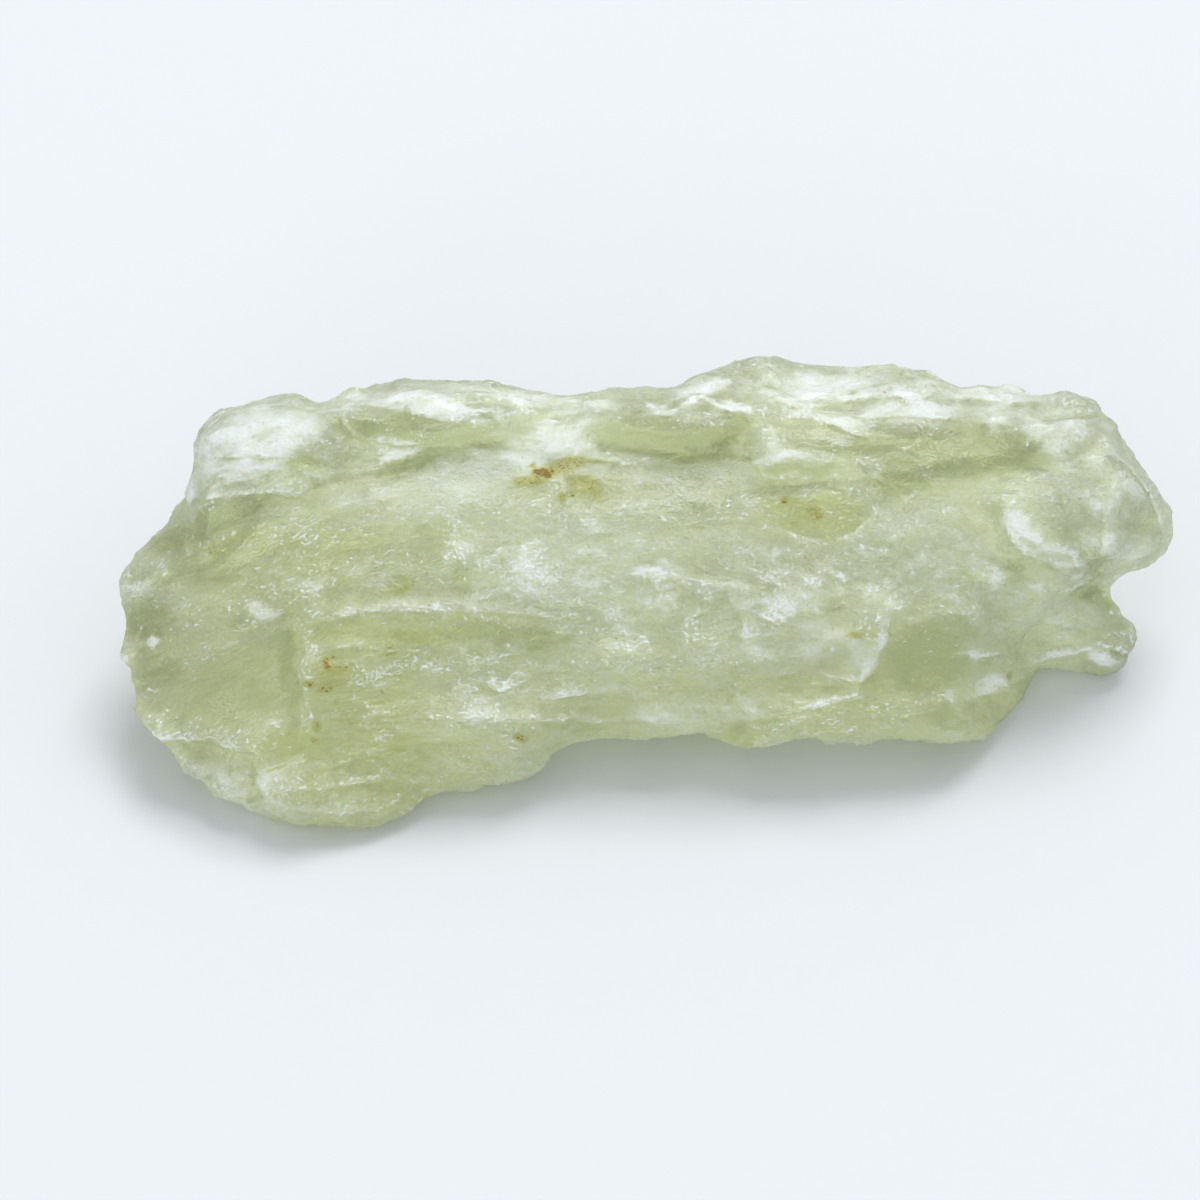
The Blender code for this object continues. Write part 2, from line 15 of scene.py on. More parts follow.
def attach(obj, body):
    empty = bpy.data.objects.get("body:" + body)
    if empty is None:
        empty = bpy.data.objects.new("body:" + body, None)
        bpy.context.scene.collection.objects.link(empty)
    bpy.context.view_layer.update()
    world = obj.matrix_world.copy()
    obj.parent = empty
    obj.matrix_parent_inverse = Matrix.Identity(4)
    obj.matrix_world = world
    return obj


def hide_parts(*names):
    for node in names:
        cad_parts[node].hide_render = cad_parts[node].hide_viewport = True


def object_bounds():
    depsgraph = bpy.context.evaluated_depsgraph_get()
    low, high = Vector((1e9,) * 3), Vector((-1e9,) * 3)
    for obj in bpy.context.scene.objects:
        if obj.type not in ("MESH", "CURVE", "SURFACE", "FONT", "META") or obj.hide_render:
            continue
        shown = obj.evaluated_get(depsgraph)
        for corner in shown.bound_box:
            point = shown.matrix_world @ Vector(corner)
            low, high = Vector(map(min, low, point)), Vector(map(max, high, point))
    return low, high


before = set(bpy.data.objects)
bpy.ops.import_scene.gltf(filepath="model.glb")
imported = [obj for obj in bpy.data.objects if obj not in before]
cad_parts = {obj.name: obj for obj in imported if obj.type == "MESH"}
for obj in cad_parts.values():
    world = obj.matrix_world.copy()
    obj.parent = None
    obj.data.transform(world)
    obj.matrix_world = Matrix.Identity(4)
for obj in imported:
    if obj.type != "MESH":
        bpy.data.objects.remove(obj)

bl_info = {
    "name": "Libyan desert glass",
    "version": (1, 0, 0),
    "blender": (4, 5, 0),
    "location": "3D View > Sidebar > Desert glass",
    "description": "Builds a wind-worn fragment of natural silica glass and its studio stage",
    "category": "Add Mesh",
}

MM = 0.001
NODE = "glass_fragment"
PIECE = "desert_glass_fragment"
CAD_LOW, CAD_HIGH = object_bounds()
FACE_WEIGHT = 0.5                       # thinning weight of the broad face; the far side has 1
WEIGHT_LEVELS = 4                       # steps between the two weights
WEIGHT_PULL = 0.000012                  # how strongly the weights steer the thinning
WELD_GAP = 0.000001                     # points nearer than this, in metres, are one
RELAX_STEP = 0.5                        # how far one pass draws a point to its neighbours
LIP_ROUNDS = 5                          # how many neighbours out a lip is measured
LIP_HEIGHT = 0.04                       # millimetres that a full lip stands proud

# ---------------------------------------------------------------- the broad face
FACE_PITCH = math.radians(50.0)         # its normal stands this far above the horizon
FACE_ORIGIN = (-0.138, -0.385, 7.35)    # where u = v = w = 0 lies in the frame, millimetres
ALONG = np.array((1.0, 0.0, 0.0))
UP_FACE = np.array((0.0, math.sin(FACE_PITCH), math.cos(FACE_PITCH)))
OUT_OF_FACE = np.array((0.0, -math.cos(FACE_PITCH), math.sin(FACE_PITCH)))

# A normal's cosine with the face's own: (where the face starts to count, how soon it is full).
WORN_FACE = (0.05, 0.3)
MARKED_FACE_SPAN = 0.25
THINNED_BACK = (0.25, 0.5)
ABOVE_GROUND = (0.1, 0.8)               # millimetres up: where wear sets in, how soon full

LEDGE_FADE = 1.2                        # how far a ledge runs on past its path's ends, fading
FULL_RISE = 0.2                         # a ledge this high gets a fully frosted lip painted lighter as highlight, and full painted shade, green, below it
CREST_REACH, LEE_REACH = 0.45, 0.7      # width of the frosted, painted-highlight lip and of the painted shade under the ledge, as shares of a ledge's reach

# Crisp ledges: the glass above (left of) the path stands out and falls back over reach.
# (path, rise, riser width, reach)
LEDGES = (
    # upper-left lobe and the channel under it
    (((-24.8, 8.5), (-23.4, 8.6), (-22.2, 8.5)), 0.16, 0.25, 1.0),
    (((-23.7, 7.7), (-21.9, 7.7), (-20.4, 7.4), (-19.5, 7.0)), 0.18, 0.25, 1.0),
    (((-26.4, 6.0), (-24.6, 6.1), (-22.5, 6.4), (-20.7, 6.2), (-18.6, 7.3)), 0.22, 0.3, 1.5),
    (((-29.1, 3.8), (-27.3, 4.8), (-25.2, 5.5), (-23.0, 5.9)), 0.16, 0.3, 1.2),
    (((-26.7, 2.9), (-24.8, 3.7), (-23.0, 4.8), (-20.7, 5.3)), 0.12, 0.25, 0.9),
    # under the top rim, left to middle
    (((-18.0, 10.6), (-17.2, 9.8), (-15.9, 9.4), (-14.6, 9.2), (-13.0, 9.4)), 0.22, 0.2, 1.0),
    (((-16.0, 8.0), (-14.8, 8.5), (-13.5, 8.9), (-11.9, 9.5), (-8.7, 9.8)), 0.18, 0.25, 1.0),
    (((-15.0, 11.8), (-13.2, 12.1), (-11.7, 11.5), (-8.7, 11.0), (-5.1, 11.0)), 0.12, 0.2, 0.8),
    (((-7.7, 6.8), (-6.3, 7.1), (-5.1, 7.0), (-4.9, 6.0)), 0.12, 0.12, 0.9),
    (((-5.0, 8.3), (-3.9, 8.6), (-2.6, 8.3), (-0.3, 8.0)), 0.10, 0.15, 0.8),
    (((-1.6, 9.8), (-0.3, 10.0), (1.2, 9.8), (2.7, 9.7), (3.3, 9.4)), 0.12, 0.18, 0.8),
    (((-0.3, 12.0), (0.6, 11.3), (1.6, 10.8)), 0.12, 0.2, 0.7),
    (((3.3, 12.1), (4.6, 11.3), (6.0, 10.9), (6.3, 10.3)), 0.14, 0.2, 0.7),
    # the hook and the long shelf at the upper right
    (((6.2, 9.6), (6.4, 8.3), (7.0, 7.3), (8.8, 7.1), (11.1, 7.3)), 0.22, 0.22, 1.0),
    (((7.0, 8.0), (8.7, 8.3), (10.5, 8.3), (12.9, 8.0)), 0.14, 0.2, 0.8),
    (((8.1, 11.9), (9.3, 11.3), (11.1, 11.7), (12.9, 12.1), (15.3, 12.2)), 0.2, 0.2, 0.8),
    (((8.7, 10.7), (10.5, 10.8), (11.7, 10.2), (13.0, 9.6)), 0.18, 0.2, 0.7),
    (((13.0, 10.9), (14.1, 10.8), (15.3, 11.0), (17.7, 10.8)), 0.16, 0.2, 0.7),
    (((17.7, 12.1), (19.8, 12.1), (21.3, 11.8), (23.1, 11.9)), 0.12, 0.2, 0.8),
    (((14.3, 8.3), (15.2, 8.8), (16.3, 9.0)), 0.14, 0.15, 0.6),
    (((13.5, 7.2), (14.6, 6.6), (15.5, 6.0)), 0.2, 0.2, 0.8),
    (((15.6, 5.9), (16.8, 6.8), (17.1, 7.8)), 0.15, 0.25, 0.8),
    # middle face: lower lip of the lens-shaped hollow, and a small standing step
    (((13.2, 4.8), (12.3, 4.0), (10.6, 3.5), (8.7, 4.0), (7.2, 4.5)), 0.16, 0.2, 0.9),
    (((5.0, 0.1), (5.5, -0.7), (5.6, -1.6), (5.5, -3.6), (5.3, -5.4)), 0.08, 0.15, 1.2),
    (((2.6, -2.5), (2.5, -1.2), (3.3, -0.8)), 0.08, 0.12, 0.6),
    # the square hollow at the lower right
    (((13.0, -5.0), (13.7, -3.8), (14.3, -2.4), (14.5, -1.3)), 0.3, 0.2, 1.2),
    (((10.5, -5.0), (11.8, -4.9), (13.0, -4.9)), 0.16, 0.15, 0.8),
    (((17.1, -3.2), (18.3, -3.2), (19.4, -3.4), (20.7, -3.4)), 0.14, 0.12, 0.7),
    (((16.2, -4.8), (17.4, -4.9), (18.6, -5.0)), 0.10, 0.12, 0.6),
    (((19.9, -5.9), (20.7, -5.6), (21.9, -5.6)), 0.16, 0.15, 0.8),
    (((17.7, -6.4), (18.3, -6.2), (19.0, -6.0)), 0.14, 0.15, 0.6),
    # fold, bevel and toe of the right end
    (((21.2, 5.7), (21.5, 4.7), (22.4, 3.8), (23.7, 3.1), (25.5, 2.4), (26.5, 1.2)), 0.3, 0.3, 1.2),
    (((21.3, 4.8), (21.7, 3.5), (22.7, 2.6), (24.3, 2.0)), 0.2, 0.3, 1.0),
    (((25.3, 0.4), (26.2, 0.7), (27.5, 1.1)), 0.2, 0.2, 0.8),
    (((27.5, 8.9), (28.9, 7.9), (30.1, 6.4), (30.9, 4.6)), 0.16, 0.25, 1.0),
    (((27.8, 6.8), (27.4, 5.7), (27.3, 4.2), (27.2, 2.4)), 0.12, 0.3, 1.4),
    (((23.8, -3.8), (25.0, -3.5), (26.7, -3.1)), 0.2, 0.2, 0.8),
    (((24.9, -2.4), (26.1, -2.6), (27.3, -2.8), (29.0, -3.1)), 0.18, 0.2, 0.8),
    # left end: chip, fin beside the bowl
    (((-29.2, -8.3), (-27.9, -8.3), (-26.5, -8.3), (-25.4, -8.6), (-23.7, -9.1)), 0.2, 0.15, 1.0),
    (((-23.3, -9.1), (-23.2, -10.3), (-22.9, -11.4)), 0.16, 0.2, 0.9),
    (((-25.4, -11.8), (-24.1, -12.4), (-22.5, -13.1)), 0.2, 0.2, 0.9),
    (((-20.9, -2.0), (-20.8, -3.6), (-20.5, -5.4), (-20.5, -7.3)), 0.2, 0.25, 1.0),
    # thin sheet across the left of the middle, and what lies under it
    (((-19.5, -1.3), (-16.5, -0.7), (-12.9, -0.6), (-8.7, -0.7), (-6.0, -1.0)), 0.16, 0.2, 1.6),
    (((-18.0, -2.8), (-15.9, -3.0), (-12.9, -3.1), (-10.5, -2.9)), 0.10, 0.2, 0.8),
    (((-11.0, -5.2), (-9.8, -4.8), (-8.7, -5.4), (-7.5, -5.0)), 0.14, 0.15, 0.7),
    (((-5.7, -6.0), (-4.5, -5.7), (-2.1, -5.6), (-0.3, -5.8)), 0.12, 0.15, 0.7),
    (((-7.5, -7.3), (-5.1, -7.2), (-2.7, -7.3), (0.9, -7.1)), 0.10, 0.15, 0.6),
    (((5.7, -7.2), (8.1, -7.0), (9.3, -6.5), (12.9, -5.9)), 0.14, 0.15, 0.7),
    (((-18.9, -10.0), (-15.9, -9.1), (-12.9, -8.5), (-10.5, -8.3)), 0.12, 0.2, 0.9),
    (((-20.7, -11.4), (-17.7, -11.0), (-14.7, -10.6)), 0.12, 0.2, 0.9),
)

# Ovals on the face: (centre, radii, turn in degrees, strength).
# Paler, cloudier glass. On the treads and across the middle and lower face these ovals also paint
# on light that the lamps don't give there: painted light.
PALE_AND_PAINTED_LIGHT = (
    ((-23.5, 8.6), (4.6, 3.4), 10, 0.6),        # upper-left lobe
    ((-10.8, 7.3), (5.2, 1.8), 14, 1.2),        # tread under the first channel
    ((-4.6, 8.4), (3.4, 2.2), 0, 0.7),          # around the stained crack
    ((2.0, 7.2), (8.0, 1.5), 2, 0.6),           # middle, under the second channel
    ((9.8, 9.4), (2.2, 1.8), 0, 0.2),           # lump inside the hook
    ((-2.8, 1.6), (8.4, 4.2), 0, 0.75),         # middle face
    ((8.0, -0.4), (6.4, 3.6), 0, 0.85),
    ((16.0, 2.4), (5.6, 3.6), 0, 0.7),
    ((14.5, 12.2), (10.8, 1.8), -4, 1.1),       # upper shelf
    ((25.4, 8.2), (3.8, 4.2), 0, 0.8),          # right end
    ((27.6, 5.0), (3.4, 3.6), 30, 1.0),
    ((24.4, -0.6), (3.6, 2.0), 0, 0.5),
    ((-12.2, -0.2), (6.8, 0.9), 2, 0.4),        # thin sheet
    ((-15.5, -2.0), (4.5, 0.9), 0, 0.55),
    ((-6.4, -6.2), (7.0, 2.2), 4, 0.6),         # lower middle
    ((3.0, -6.4), (6.0, 1.8), 2, 0.85),
    ((-11.0, -9.6), (6.6, 2.2), 8, 0.5),        # foot
    ((-19.0, -12.0), (4.4, 1.4), -10, 0.4),
    ((-23.6, -10.8), (4.4, 1.8), -22, 0.7),     # heel
    ((-20.0, 1.6), (5.6, 1.6), 8, 0.4),         # yellow left part
    ((-18.4, 5.6), (3.6, 1.2), 20, 0.4),
    ((4.0, 11.6), (4.0, 0.9), 6, 0.5),          # upper edge, middle
    ((-12.0, 11.8), (7.0, 1.2), 0, 0.6),        # upper edge, left
)
# Chipped or sheltered places where the glass is worn smooth and even.
CALM = (
    ((28.4, 6.4), (4.4, 1.8), -54, 1.0),        # slanting facet of the right end
    ((24.0, 4.6), (2.6, 1.8), -20, 0.6),        # beside the fold
    ((17.4, -3.6), (2.8, 2.2), 0, 1.0),         # square hollow
    ((-25.0, -5.0), (3.6, 3.0), 0, 0.9),        # bowl
    ((-12.9, 10.2), (4.6, 0.9), -2, 1.0),       # channels under the upper edge
    ((0.9, 9.6), (3.9, 0.9), -4, 1.0),
    ((10.0, 4.8), (3.0, 1.4), 0, 0.8),          # lens-shaped hollow
    ((-10.5, 7.0), (4.8, 1.4), 12, 0.7),        # tread under the first channel
    ((-14.7, -1.9), (5.5, 0.9), 2, 0.8),        # lee of the thin sheet
)
FROST = (
    # upper-left lobe
    ((-22.8, 10.1), (4.0, 1.6), 8, 0.6), ((-26.1, 8.9), (1.3, 2.0), -20, 0.45),
    ((-23.4, 7.9), (2.2, 0.7), 5, 0.5), ((-27.2, 6.7), (0.4, 0.7), 0, 1.0),
    # under the top rim, left to middle
    ((-18.0, 11.7), (1.8, 0.5), 8, 0.5), ((-14.7, 11.9), (2.0, 0.5), 2, 0.7),
    ((-11.7, 11.3), (2.8, 0.5), -6, 0.8), ((-14.6, 9.0), (1.4, 0.5), 4, 0.9),
    ((-12.3, 12.6), (3.6, 0.6), 0, 0.35), ((-6.3, 12.1), (4.2, 0.5), -6, 0.6),
    ((-5.1, 9.8), (2.9, 1.2), 0, 0.45), ((-6.6, 9.3), (2.0, 1.8), 0, 0.4),
    ((0.6, 11.5), (1.0, 0.4), -25, 0.8), ((5.1, 11.5), (1.0, 0.4), 0, 0.9),
    ((3.3, 12.5), (1.7, 0.4), 18, 0.7),
    # hook and shelf at the upper right
    ((10.6, 12.8), (2.9, 0.9), 4, 0.5),
    ((10.0, 11.0), (1.2, 0.3), 0, 0.5), ((12.4, 10.3), (1.3, 0.7), -20, 0.5),
    ((14.2, 11.5), (0.9, 0.5), 0, 0.5), ((16.5, 11.4), (1.3, 0.5), 0, 0.5),
    ((15.6, 12.4), (0.8, 0.3), -20, 0.5), ((18.3, 11.3), (0.8, 0.5), 0, 0.5),
    ((21.6, 12.6), (1.8, 0.5), -8, 0.5), ((20.8, 10.6), (0.5, 0.4), 20, 0.7),
    ((12.0, 9.5), (1.1, 0.3), 0, 0.7), ((7.2, 9.3), (0.8, 1.0), 0, 0.3),
    ((8.4, 8.5), (1.1, 0.2), 0, 0.7), ((15.2, 8.8), (0.8, 0.2), 20, 0.8),
    ((24.0, 10.8), (2.0, 1.2), 0, 0.3), ((24.3, 9.1), (1.2, 0.4), 0, 0.5),
    # right end
    ((26.6, 8.6), (0.8, 0.2), 0, 0.6), ((22.3, 4.2), (0.8, 1.4), 38, 0.8),
    ((24.4, 2.6), (1.6, 0.5), -22, 0.7), ((26.0, 0.9), (0.6, 0.4), 20, 1.0),
    ((26.8, 5.5), (0.4, 0.2), 0, 0.8), ((20.7, 1.4), (0.6, 0.5), -30, 0.6),
    ((23.3, 0.9), (0.4, 0.2), 20, 0.6), ((29.7, 6.0), (0.4, 1.8), 36, 0.4),
    ((27.5, -3.3), (1.1, 0.4), -12, 1.0), ((29.0, -2.8), (0.5, 0.3), -30, 0.5),
    ((25.5, -3.4), (1.6, 0.2), 12, 0.5),
    # around the square hollow
    ((13.1, -3.5), (0.8, 1.0), 35, 0.5), ((11.6, -4.6), (1.3, 0.2), 0, 0.7),
    ((13.9, -2.4), (0.2, 0.8), -15, 0.6), ((19.6, -3.3), (0.7, 0.2), 0, 0.9),
    ((20.7, -5.0), (1.2, 0.5), 8, 0.7), ((18.1, -5.8), (0.4, 0.4), -40, 0.8),
    # left end, bowl and heel
    ((-29.4, -2.6), (0.5, 0.4), 20, 1.0), ((-31.0, -3.6), (0.4, 0.3), 0, 1.0),
    ((-30.3, 0.6), (1.1, 0.5), 0, 0.55), ((-22.6, -0.7), (1.1, 0.5), -25, 0.6),
    ((-23.7, -1.9), (0.2, 0.2), 0, 0.7), ((-24.5, -2.7), (0.5, 0.2), 10, 0.5),
    ((-24.3, -11.2), (2.6, 0.8), -22, 0.3), ((-27.9, -8.3), (1.3, 0.1), -2, 0.9),
    ((-20.7, -12.5), (3.6, 0.5), -4, 0.25), ((-22.2, -7.4), (1.0, 0.4), 0, 0.4),
)
# Clusters of small broken pits, where the white painted glints gather.
PITTED = (
    # the middle face
    ((-7.0, 1.3), (1.4, 1.2), 0, 0.75), ((-6.0, 2.4), (1.2, 0.8), 0, 0.3),
    ((-11.0, 4.3), (0.6, 0.6), 0, 0.6), ((-11.4, 2.9), (1.1, 0.6), 10, 0.5),
    ((-6.6, 3.1), (0.7, 0.5), 0, 0.6), ((-3.1, 4.8), (0.7, 0.2), 0, 0.4),
    ((0.6, 1.4), (1.0, 0.4), 6, 0.8), ((0.2, -0.2), (0.3, 0.2), 0, 0.9),
    ((7.8, -0.4), (1.1, 0.9), 8, 0.9), ((7.5, 1.4), (0.7, 0.3), 0, 0.5),
    ((10.0, 1.2), (0.6, 0.5), 0, 0.7), ((11.5, 1.1), (0.3, 0.2), 0, 0.7),
    ((13.4, 0.6), (0.5, 0.4), 0, 0.6), ((3.4, 0.7), (0.8, 0.5), 0, 0.5),
    ((2.9, -1.8), (0.5, 0.7), 0, 0.7), ((1.6, -1.7), (0.3, 0.5), 0, 0.4),
    ((-1.8, -1.8), (1.0, 0.7), 0, 0.45), ((-0.5, -2.4), (0.5, 0.4), 20, 0.8),
    ((-2.2, -0.6), (0.8, 0.5), 0, 0.4), ((11.2, -2.9), (0.4, 0.3), 0, 0.7),
    ((6.0, -1.9), (0.5, 0.5), -30, 0.5), ((15.3, -0.4), (0.7, 0.4), 0, 0.6),
    ((-20.7, 4.2), (2.0, 1.0), 6, 0.45), ((-19.5, -2.8), (0.5, 0.4), 0, 0.4),
    ((-19.6, 0.8), (1.3, 0.2), 4, 0.5), ((-22.2, 0.7), (1.6, 0.3), 0, 0.4),
    # flecks along the lower face
    ((-16.0, -4.6), (1.6, 0.4), 8, 0.6), ((-16.7, -6.4), (1.4, 0.4), 0, 0.4),
    ((-12.3, -3.8), (2.6, 0.4), 0, 0.5), ((-8.4, -3.3), (0.8, 0.4), 0, 0.5),
    ((-9.9, -6.4), (1.3, 0.6), 0, 0.5), ((-8.7, -5.0), (0.8, 0.4), -40, 0.6),
    ((-10.5, -5.4), (0.7, 0.3), 0, 0.6), ((-4.2, -5.4), (1.3, 0.3), 0, 0.6),
    ((-1.5, -5.4), (0.6, 0.2), 0, 0.6), ((-7.3, -4.1), (0.4, 0.3), 0, 0.6),
    ((-4.5, -7.0), (2.4, 0.2), 0, 0.5), ((0.3, -7.1), (0.8, 0.2), 0, 0.6),
    ((10.0, -6.3), (0.8, 0.3), 12, 0.5), ((11.5, -5.8), (1.1, 0.2), 6, 0.4),
    ((-15.6, -8.5), (0.3, 0.1), 0, 0.8), ((-6.3, 6.0), (1.6, 0.5), 0, 0.4),
)
# Clearer, greener glass of the hollows, channels and undersides of ridges, made darker there as
# painted shade too.
GREEN_AND_PAINTED_SHADE = (
    ((-25.8, 4.8), (4.2, 0.8), 22, 0.8), ((-28.5, 4.2), (2.0, 0.7), 35, 0.6),
    ((-20.4, 7.9), (1.2, 0.5), 0, 0.6), ((-13.5, 8.4), (2.4, 0.5), 24, 0.9),
    ((-12.9, 10.2), (4.8, 0.9), -2, 0.8), ((-9.9, 10.5), (1.8, 0.5), 0, 0.6),
    ((0.9, 9.6), (3.9, 1.1), -4, 1.2), ((4.8, 10.3), (1.7, 0.6), 10, 0.7),
    ((3.3, 8.9), (1.3, 0.4), 10, 0.6), ((10.5, 11.9), (1.6, 0.2), 4, 0.5),
    ((14.1, 8.9), (4.8, 0.6), 0, 0.8), ((19.3, 8.8), (4.8, 1.3), 0, 1.2),
    ((15.3, 7.0), (1.4, 0.6), 0, 1.5), ((9.3, 7.6), (2.4, 0.4), 0, 0.7),
    ((22.5, 8.4), (1.3, 0.5), 0, 0.9), ((21.8, 1.9), (0.5, 1.3), 28, 0.5),
    ((25.8, 3.9), (1.4, 1.7), 0, 0.35), ((27.0, 2.1), (0.7, 0.8), 0, 0.5),
    ((29.4, 5.1), (1.4, 1.4), 0, 0.4), ((16.8, -3.3), (2.3, 2.0), 0, 0.8),
    ((18.6, -1.8), (1.2, 0.8), 0, 0.5), ((18.9, -6.9), (3.0, 0.8), 0, 0.4),
    ((23.1, -5.4), (0.7, 1.0), 0, 0.5), ((27.3, 0.0), (1.2, 0.6), 0, 0.4),
    ((-29.7, -1.2), (1.7, 1.2), 0, 0.6), ((-29.1, -4.3), (1.6, 1.0), 0, 0.5),
    ((-21.2, -4.6), (0.5, 2.6), 2, 0.6), ((-24.9, -5.4), (2.4, 1.8), 0, 0.3),
    ((-8.7, -1.9), (3.6, 0.6), -2, 0.5), ((-6.0, -2.5), (1.6, 0.5), 0, 0.5),
    ((-10.8, 1.5), (0.8, 1.1), 0, 0.5), ((-12.9, 3.3), (1.0, 1.0), 0, 0.4),
    ((-17.7, -13.2), (3.6, 0.5), 0, 0.3), ((-3.3, -7.7), (1.8, 0.4), 0, 0.3),
    ((5.7, -5.4), (0.5, 3.6), 0, 0.25), ((10.5, -0.7), (1.2, 0.7), 0, 0.3),
)
YELLOW = (
    ((-20.7, 2.4), (6.6, 2.4), 10, 0.6), ((-24.3, 3.6), (3.0, 1.0), 18, 0.7),
    ((-14.7, -1.9), (6.6, 1.0), 2, 0.9), ((-14.7, 0.6), (1.4, 0.4), 22, 0.8),
    ((-21.3, -8.4), (2.8, 1.1), 0, 0.7), ((-22.5, -10.5), (2.4, 0.8), 0, 0.6),
    ((-18.3, -5.4), (2.4, 2.4), 0, 0.5), ((-14.7, -8.4), (4.2, 1.8), 0, 0.4),
    ((10.0, 5.1), (3.1, 1.4), 0, 0.8), ((11.7, 4.2), (2.0, 0.6), 14, 0.6),
    ((12.3, -2.0), (2.2, 0.5), 0, 0.6), ((-13.5, 3.3), (3.0, 1.8), 0, 0.4),
    ((-5.1, 6.6), (3.0, 1.0), 0, 0.4), ((-2.7, 6.6), (2.6, 1.0), 0, 0.4),
    ((6.0, -8.1), (2.0, 0.7), 0, 0.7), ((10.5, 0.0), (1.4, 1.2), 0, 0.4),
    ((21.3, -6.9), (2.4, 1.8), 0, 0.4), ((-26.7, -2.4), (3.6, 2.4), 0, 0.3),
    ((12.3, -6.6), (5.4, 1.4), 0, 0.3), ((-14.7, 6.0), (1.8, 0.7), 0, 0.3),
    ((-21.0, -4.0), (10.0, 6.5), 0, 0.4), ((-17.0, -10.6), (9.0, 3.4), 8, 0.6),
    ((4.0, -6.6), (15.0, 2.2), 0, 0.45),
)
RUST = (
    # the stained crack under the top rim and its halo
    ((-6.1, 7.6), (0.7, 0.3), 0, 1.0), ((-5.8, 7.4), (0.4, 0.2), 0, 1.0),
    ((-6.7, 8.0), (0.2, 0.2), 0, 0.8), ((-4.8, 8.0), (1.5, 0.5), 14, 0.6),
    ((-3.3, 8.3), (1.3, 0.2), -6, 0.4), ((-6.9, 7.1), (1.1, 0.3), 3, 0.6),
    ((-4.9, 6.1), (0.3, 0.3), 0, 0.7), ((-4.4, 6.2), (0.2, 0.1), 20, 0.8),
    ((-3.6, 6.8), (1.3, 0.8), -20, 0.45),
    ((-18.6, -4.4), (1.5, 1.3), 0, 0.35),       # yellow-brown haze at the left
    ((-15.4, -7.2), (3.6, 2.0), 6, 0.28),
    # specks elsewhere
    ((8.2, 5.9), (0.2, 0.2), 0, 1.0), ((10.3, 5.0), (0.2, 0.2), 10, 1.0),
    ((10.0, 5.3), (0.5, 0.4), 0, 0.5), ((9.3, 5.7), (1.0, 0.3), 0, 0.25),
    ((-18.9, -3.8), (0.2, 0.5), 20, 0.9), ((-18.5, -3.4), (0.2, 0.1), 30, 0.7),
    ((-19.9, -5.0), (0.4, 0.2), 0, 0.7), ((-18.9, -5.3), (0.5, 0.2), 0, 0.6),
    ((-18.0, -4.0), (1.1, 0.1), -4, 0.6), ((-15.2, -3.2), (0.5, 0.1), 10, 0.7),
    ((-15.1, -2.8), (0.3, 0.1), 20, 0.7), ((-17.8, -6.7), (0.3, 0.1), 10, 0.5),
    ((-19.5, -7.5), (0.3, 0.4), 0, 0.5), ((-19.7, -8.3), (0.2, 0.2), 0, 0.7),
    ((-14.7, -8.9), (0.5, 0.2), 0, 0.35), ((-7.4, -8.2), (0.4, 0.2), -20, 0.7),
    ((21.9, -4.6), (0.2, 0.3), 0, 0.6), ((12.4, -2.1), (0.5, 0.2), 0, 0.5),
    ((2.5, 3.7), (0.3, 0.1), 0, 0.5), ((-17.7, -12.4), (2.4, 0.6), 0, 0.12),
    ((-21.9, -10.0), (0.8, 0.1), 18, 0.5), ((-14.1, 0.8), (0.8, 0.2), 28, 0.4),
)
SPECKS = (
    ((-12.7, -0.3), (0.2, 0.1), 0, 1.0), ((-1.7, -2.3), (0.15, 0.12), 0, 1.0),
    ((-15.6, -5.5), (0.1, 0.2), 30, 1.0), ((-3.4, 3.2), (0.15, 0.1), -20, 1.0),
    ((-1.4, 7.2), (0.12, 0.1), 0, 0.8), ((-7.3, 8.5), (0.2, 0.1), 0, 0.7),
    ((9.5, 2.5), (0.12, 0.12), 0, 1.0), ((13.9, 2.5), (0.12, 0.12), 0, 0.9),
    ((11.1, 2.8), (0.12, 0.1), 0, 0.8), ((3.5, 2.7), (0.12, 0.12), 0, 0.7),
    ((19.5, 4.4), (0.2, 0.1), 0, 0.6), ((-20.4, 2.0), (0.12, 0.12), 0, 0.8),
    ((-25.9, 2.8), (0.2, 0.1), 20, 0.7), ((12.2, -6.6), (0.2, 0.1), 0, 0.7),
    ((-17.8, -12.8), (0.12, 0.12), 0, 0.8), ((0.8, -6.2), (0.12, 0.12), 0, 0.7),
    ((14.3, 12.4), (0.15, 0.15), 0, 0.8), ((-28.7, 1.1), (0.2, 0.1), -30, 0.7),
    ((27.9, 2.4), (0.12, 0.1), 0, 0.7),
)


# ---------------------------------------------------------------- grain of the wear
# Noise patterns: (grain along u, v and w in millimetres, where in the noise it starts).
SWIRL = ((4.0, 2.5, 4.0), 3.1)              # bends the bands, scars and lumps
COARSE_BANDS = ((5.0, 1.7, 3.0), 7.7)
FINE_BANDS = ((1.8, 0.8, 1.5), 19.3)
WINDWARD = ((6.0, 4.0, 6.0), 83.0)          # fluted where high, pitted where low
SHELL_SCARS = ((1.5, 0.9, 1.3), 5.5)
SMALL_PITS = ((0.7, 0.5, 0.6), 15.5)
WIND_FLUTES = ((1.6, 0.35, 0.8), 41.0)
SOFT_LUMPS = ((2.6, 1.6, 2.2), 61.0)
RIM_NICKS = ((1.3, 1.0, 6.0), 67.0)
FAR_PATCHES = ((5.0, 2.0, 4.0), 71.0)       # frosted patches of the far side
CLOUDS = ((2.2, 1.2, 1.6), 87.0)
CLOUDLETS = ((0.9, 0.5, 0.7), 93.0)
MOTTLES = ((1.3, 0.6, 1.0), 101.0)
SMALL_MOTTLES = ((0.6, 0.3, 0.5), 107.0)
BROKEN_LIPS = ((1.8, 1.2, 1.6), 117.0)
# Torn borders of the marks: (how far they stray in millimetres, grain, start for u and for v).
TORN_BORDERS = ((0.5, (1.6, 0.9, 1.4), (31.0, 41.0)), (0.22, (0.5, 0.3, 0.4), (57.0, 67.0)))

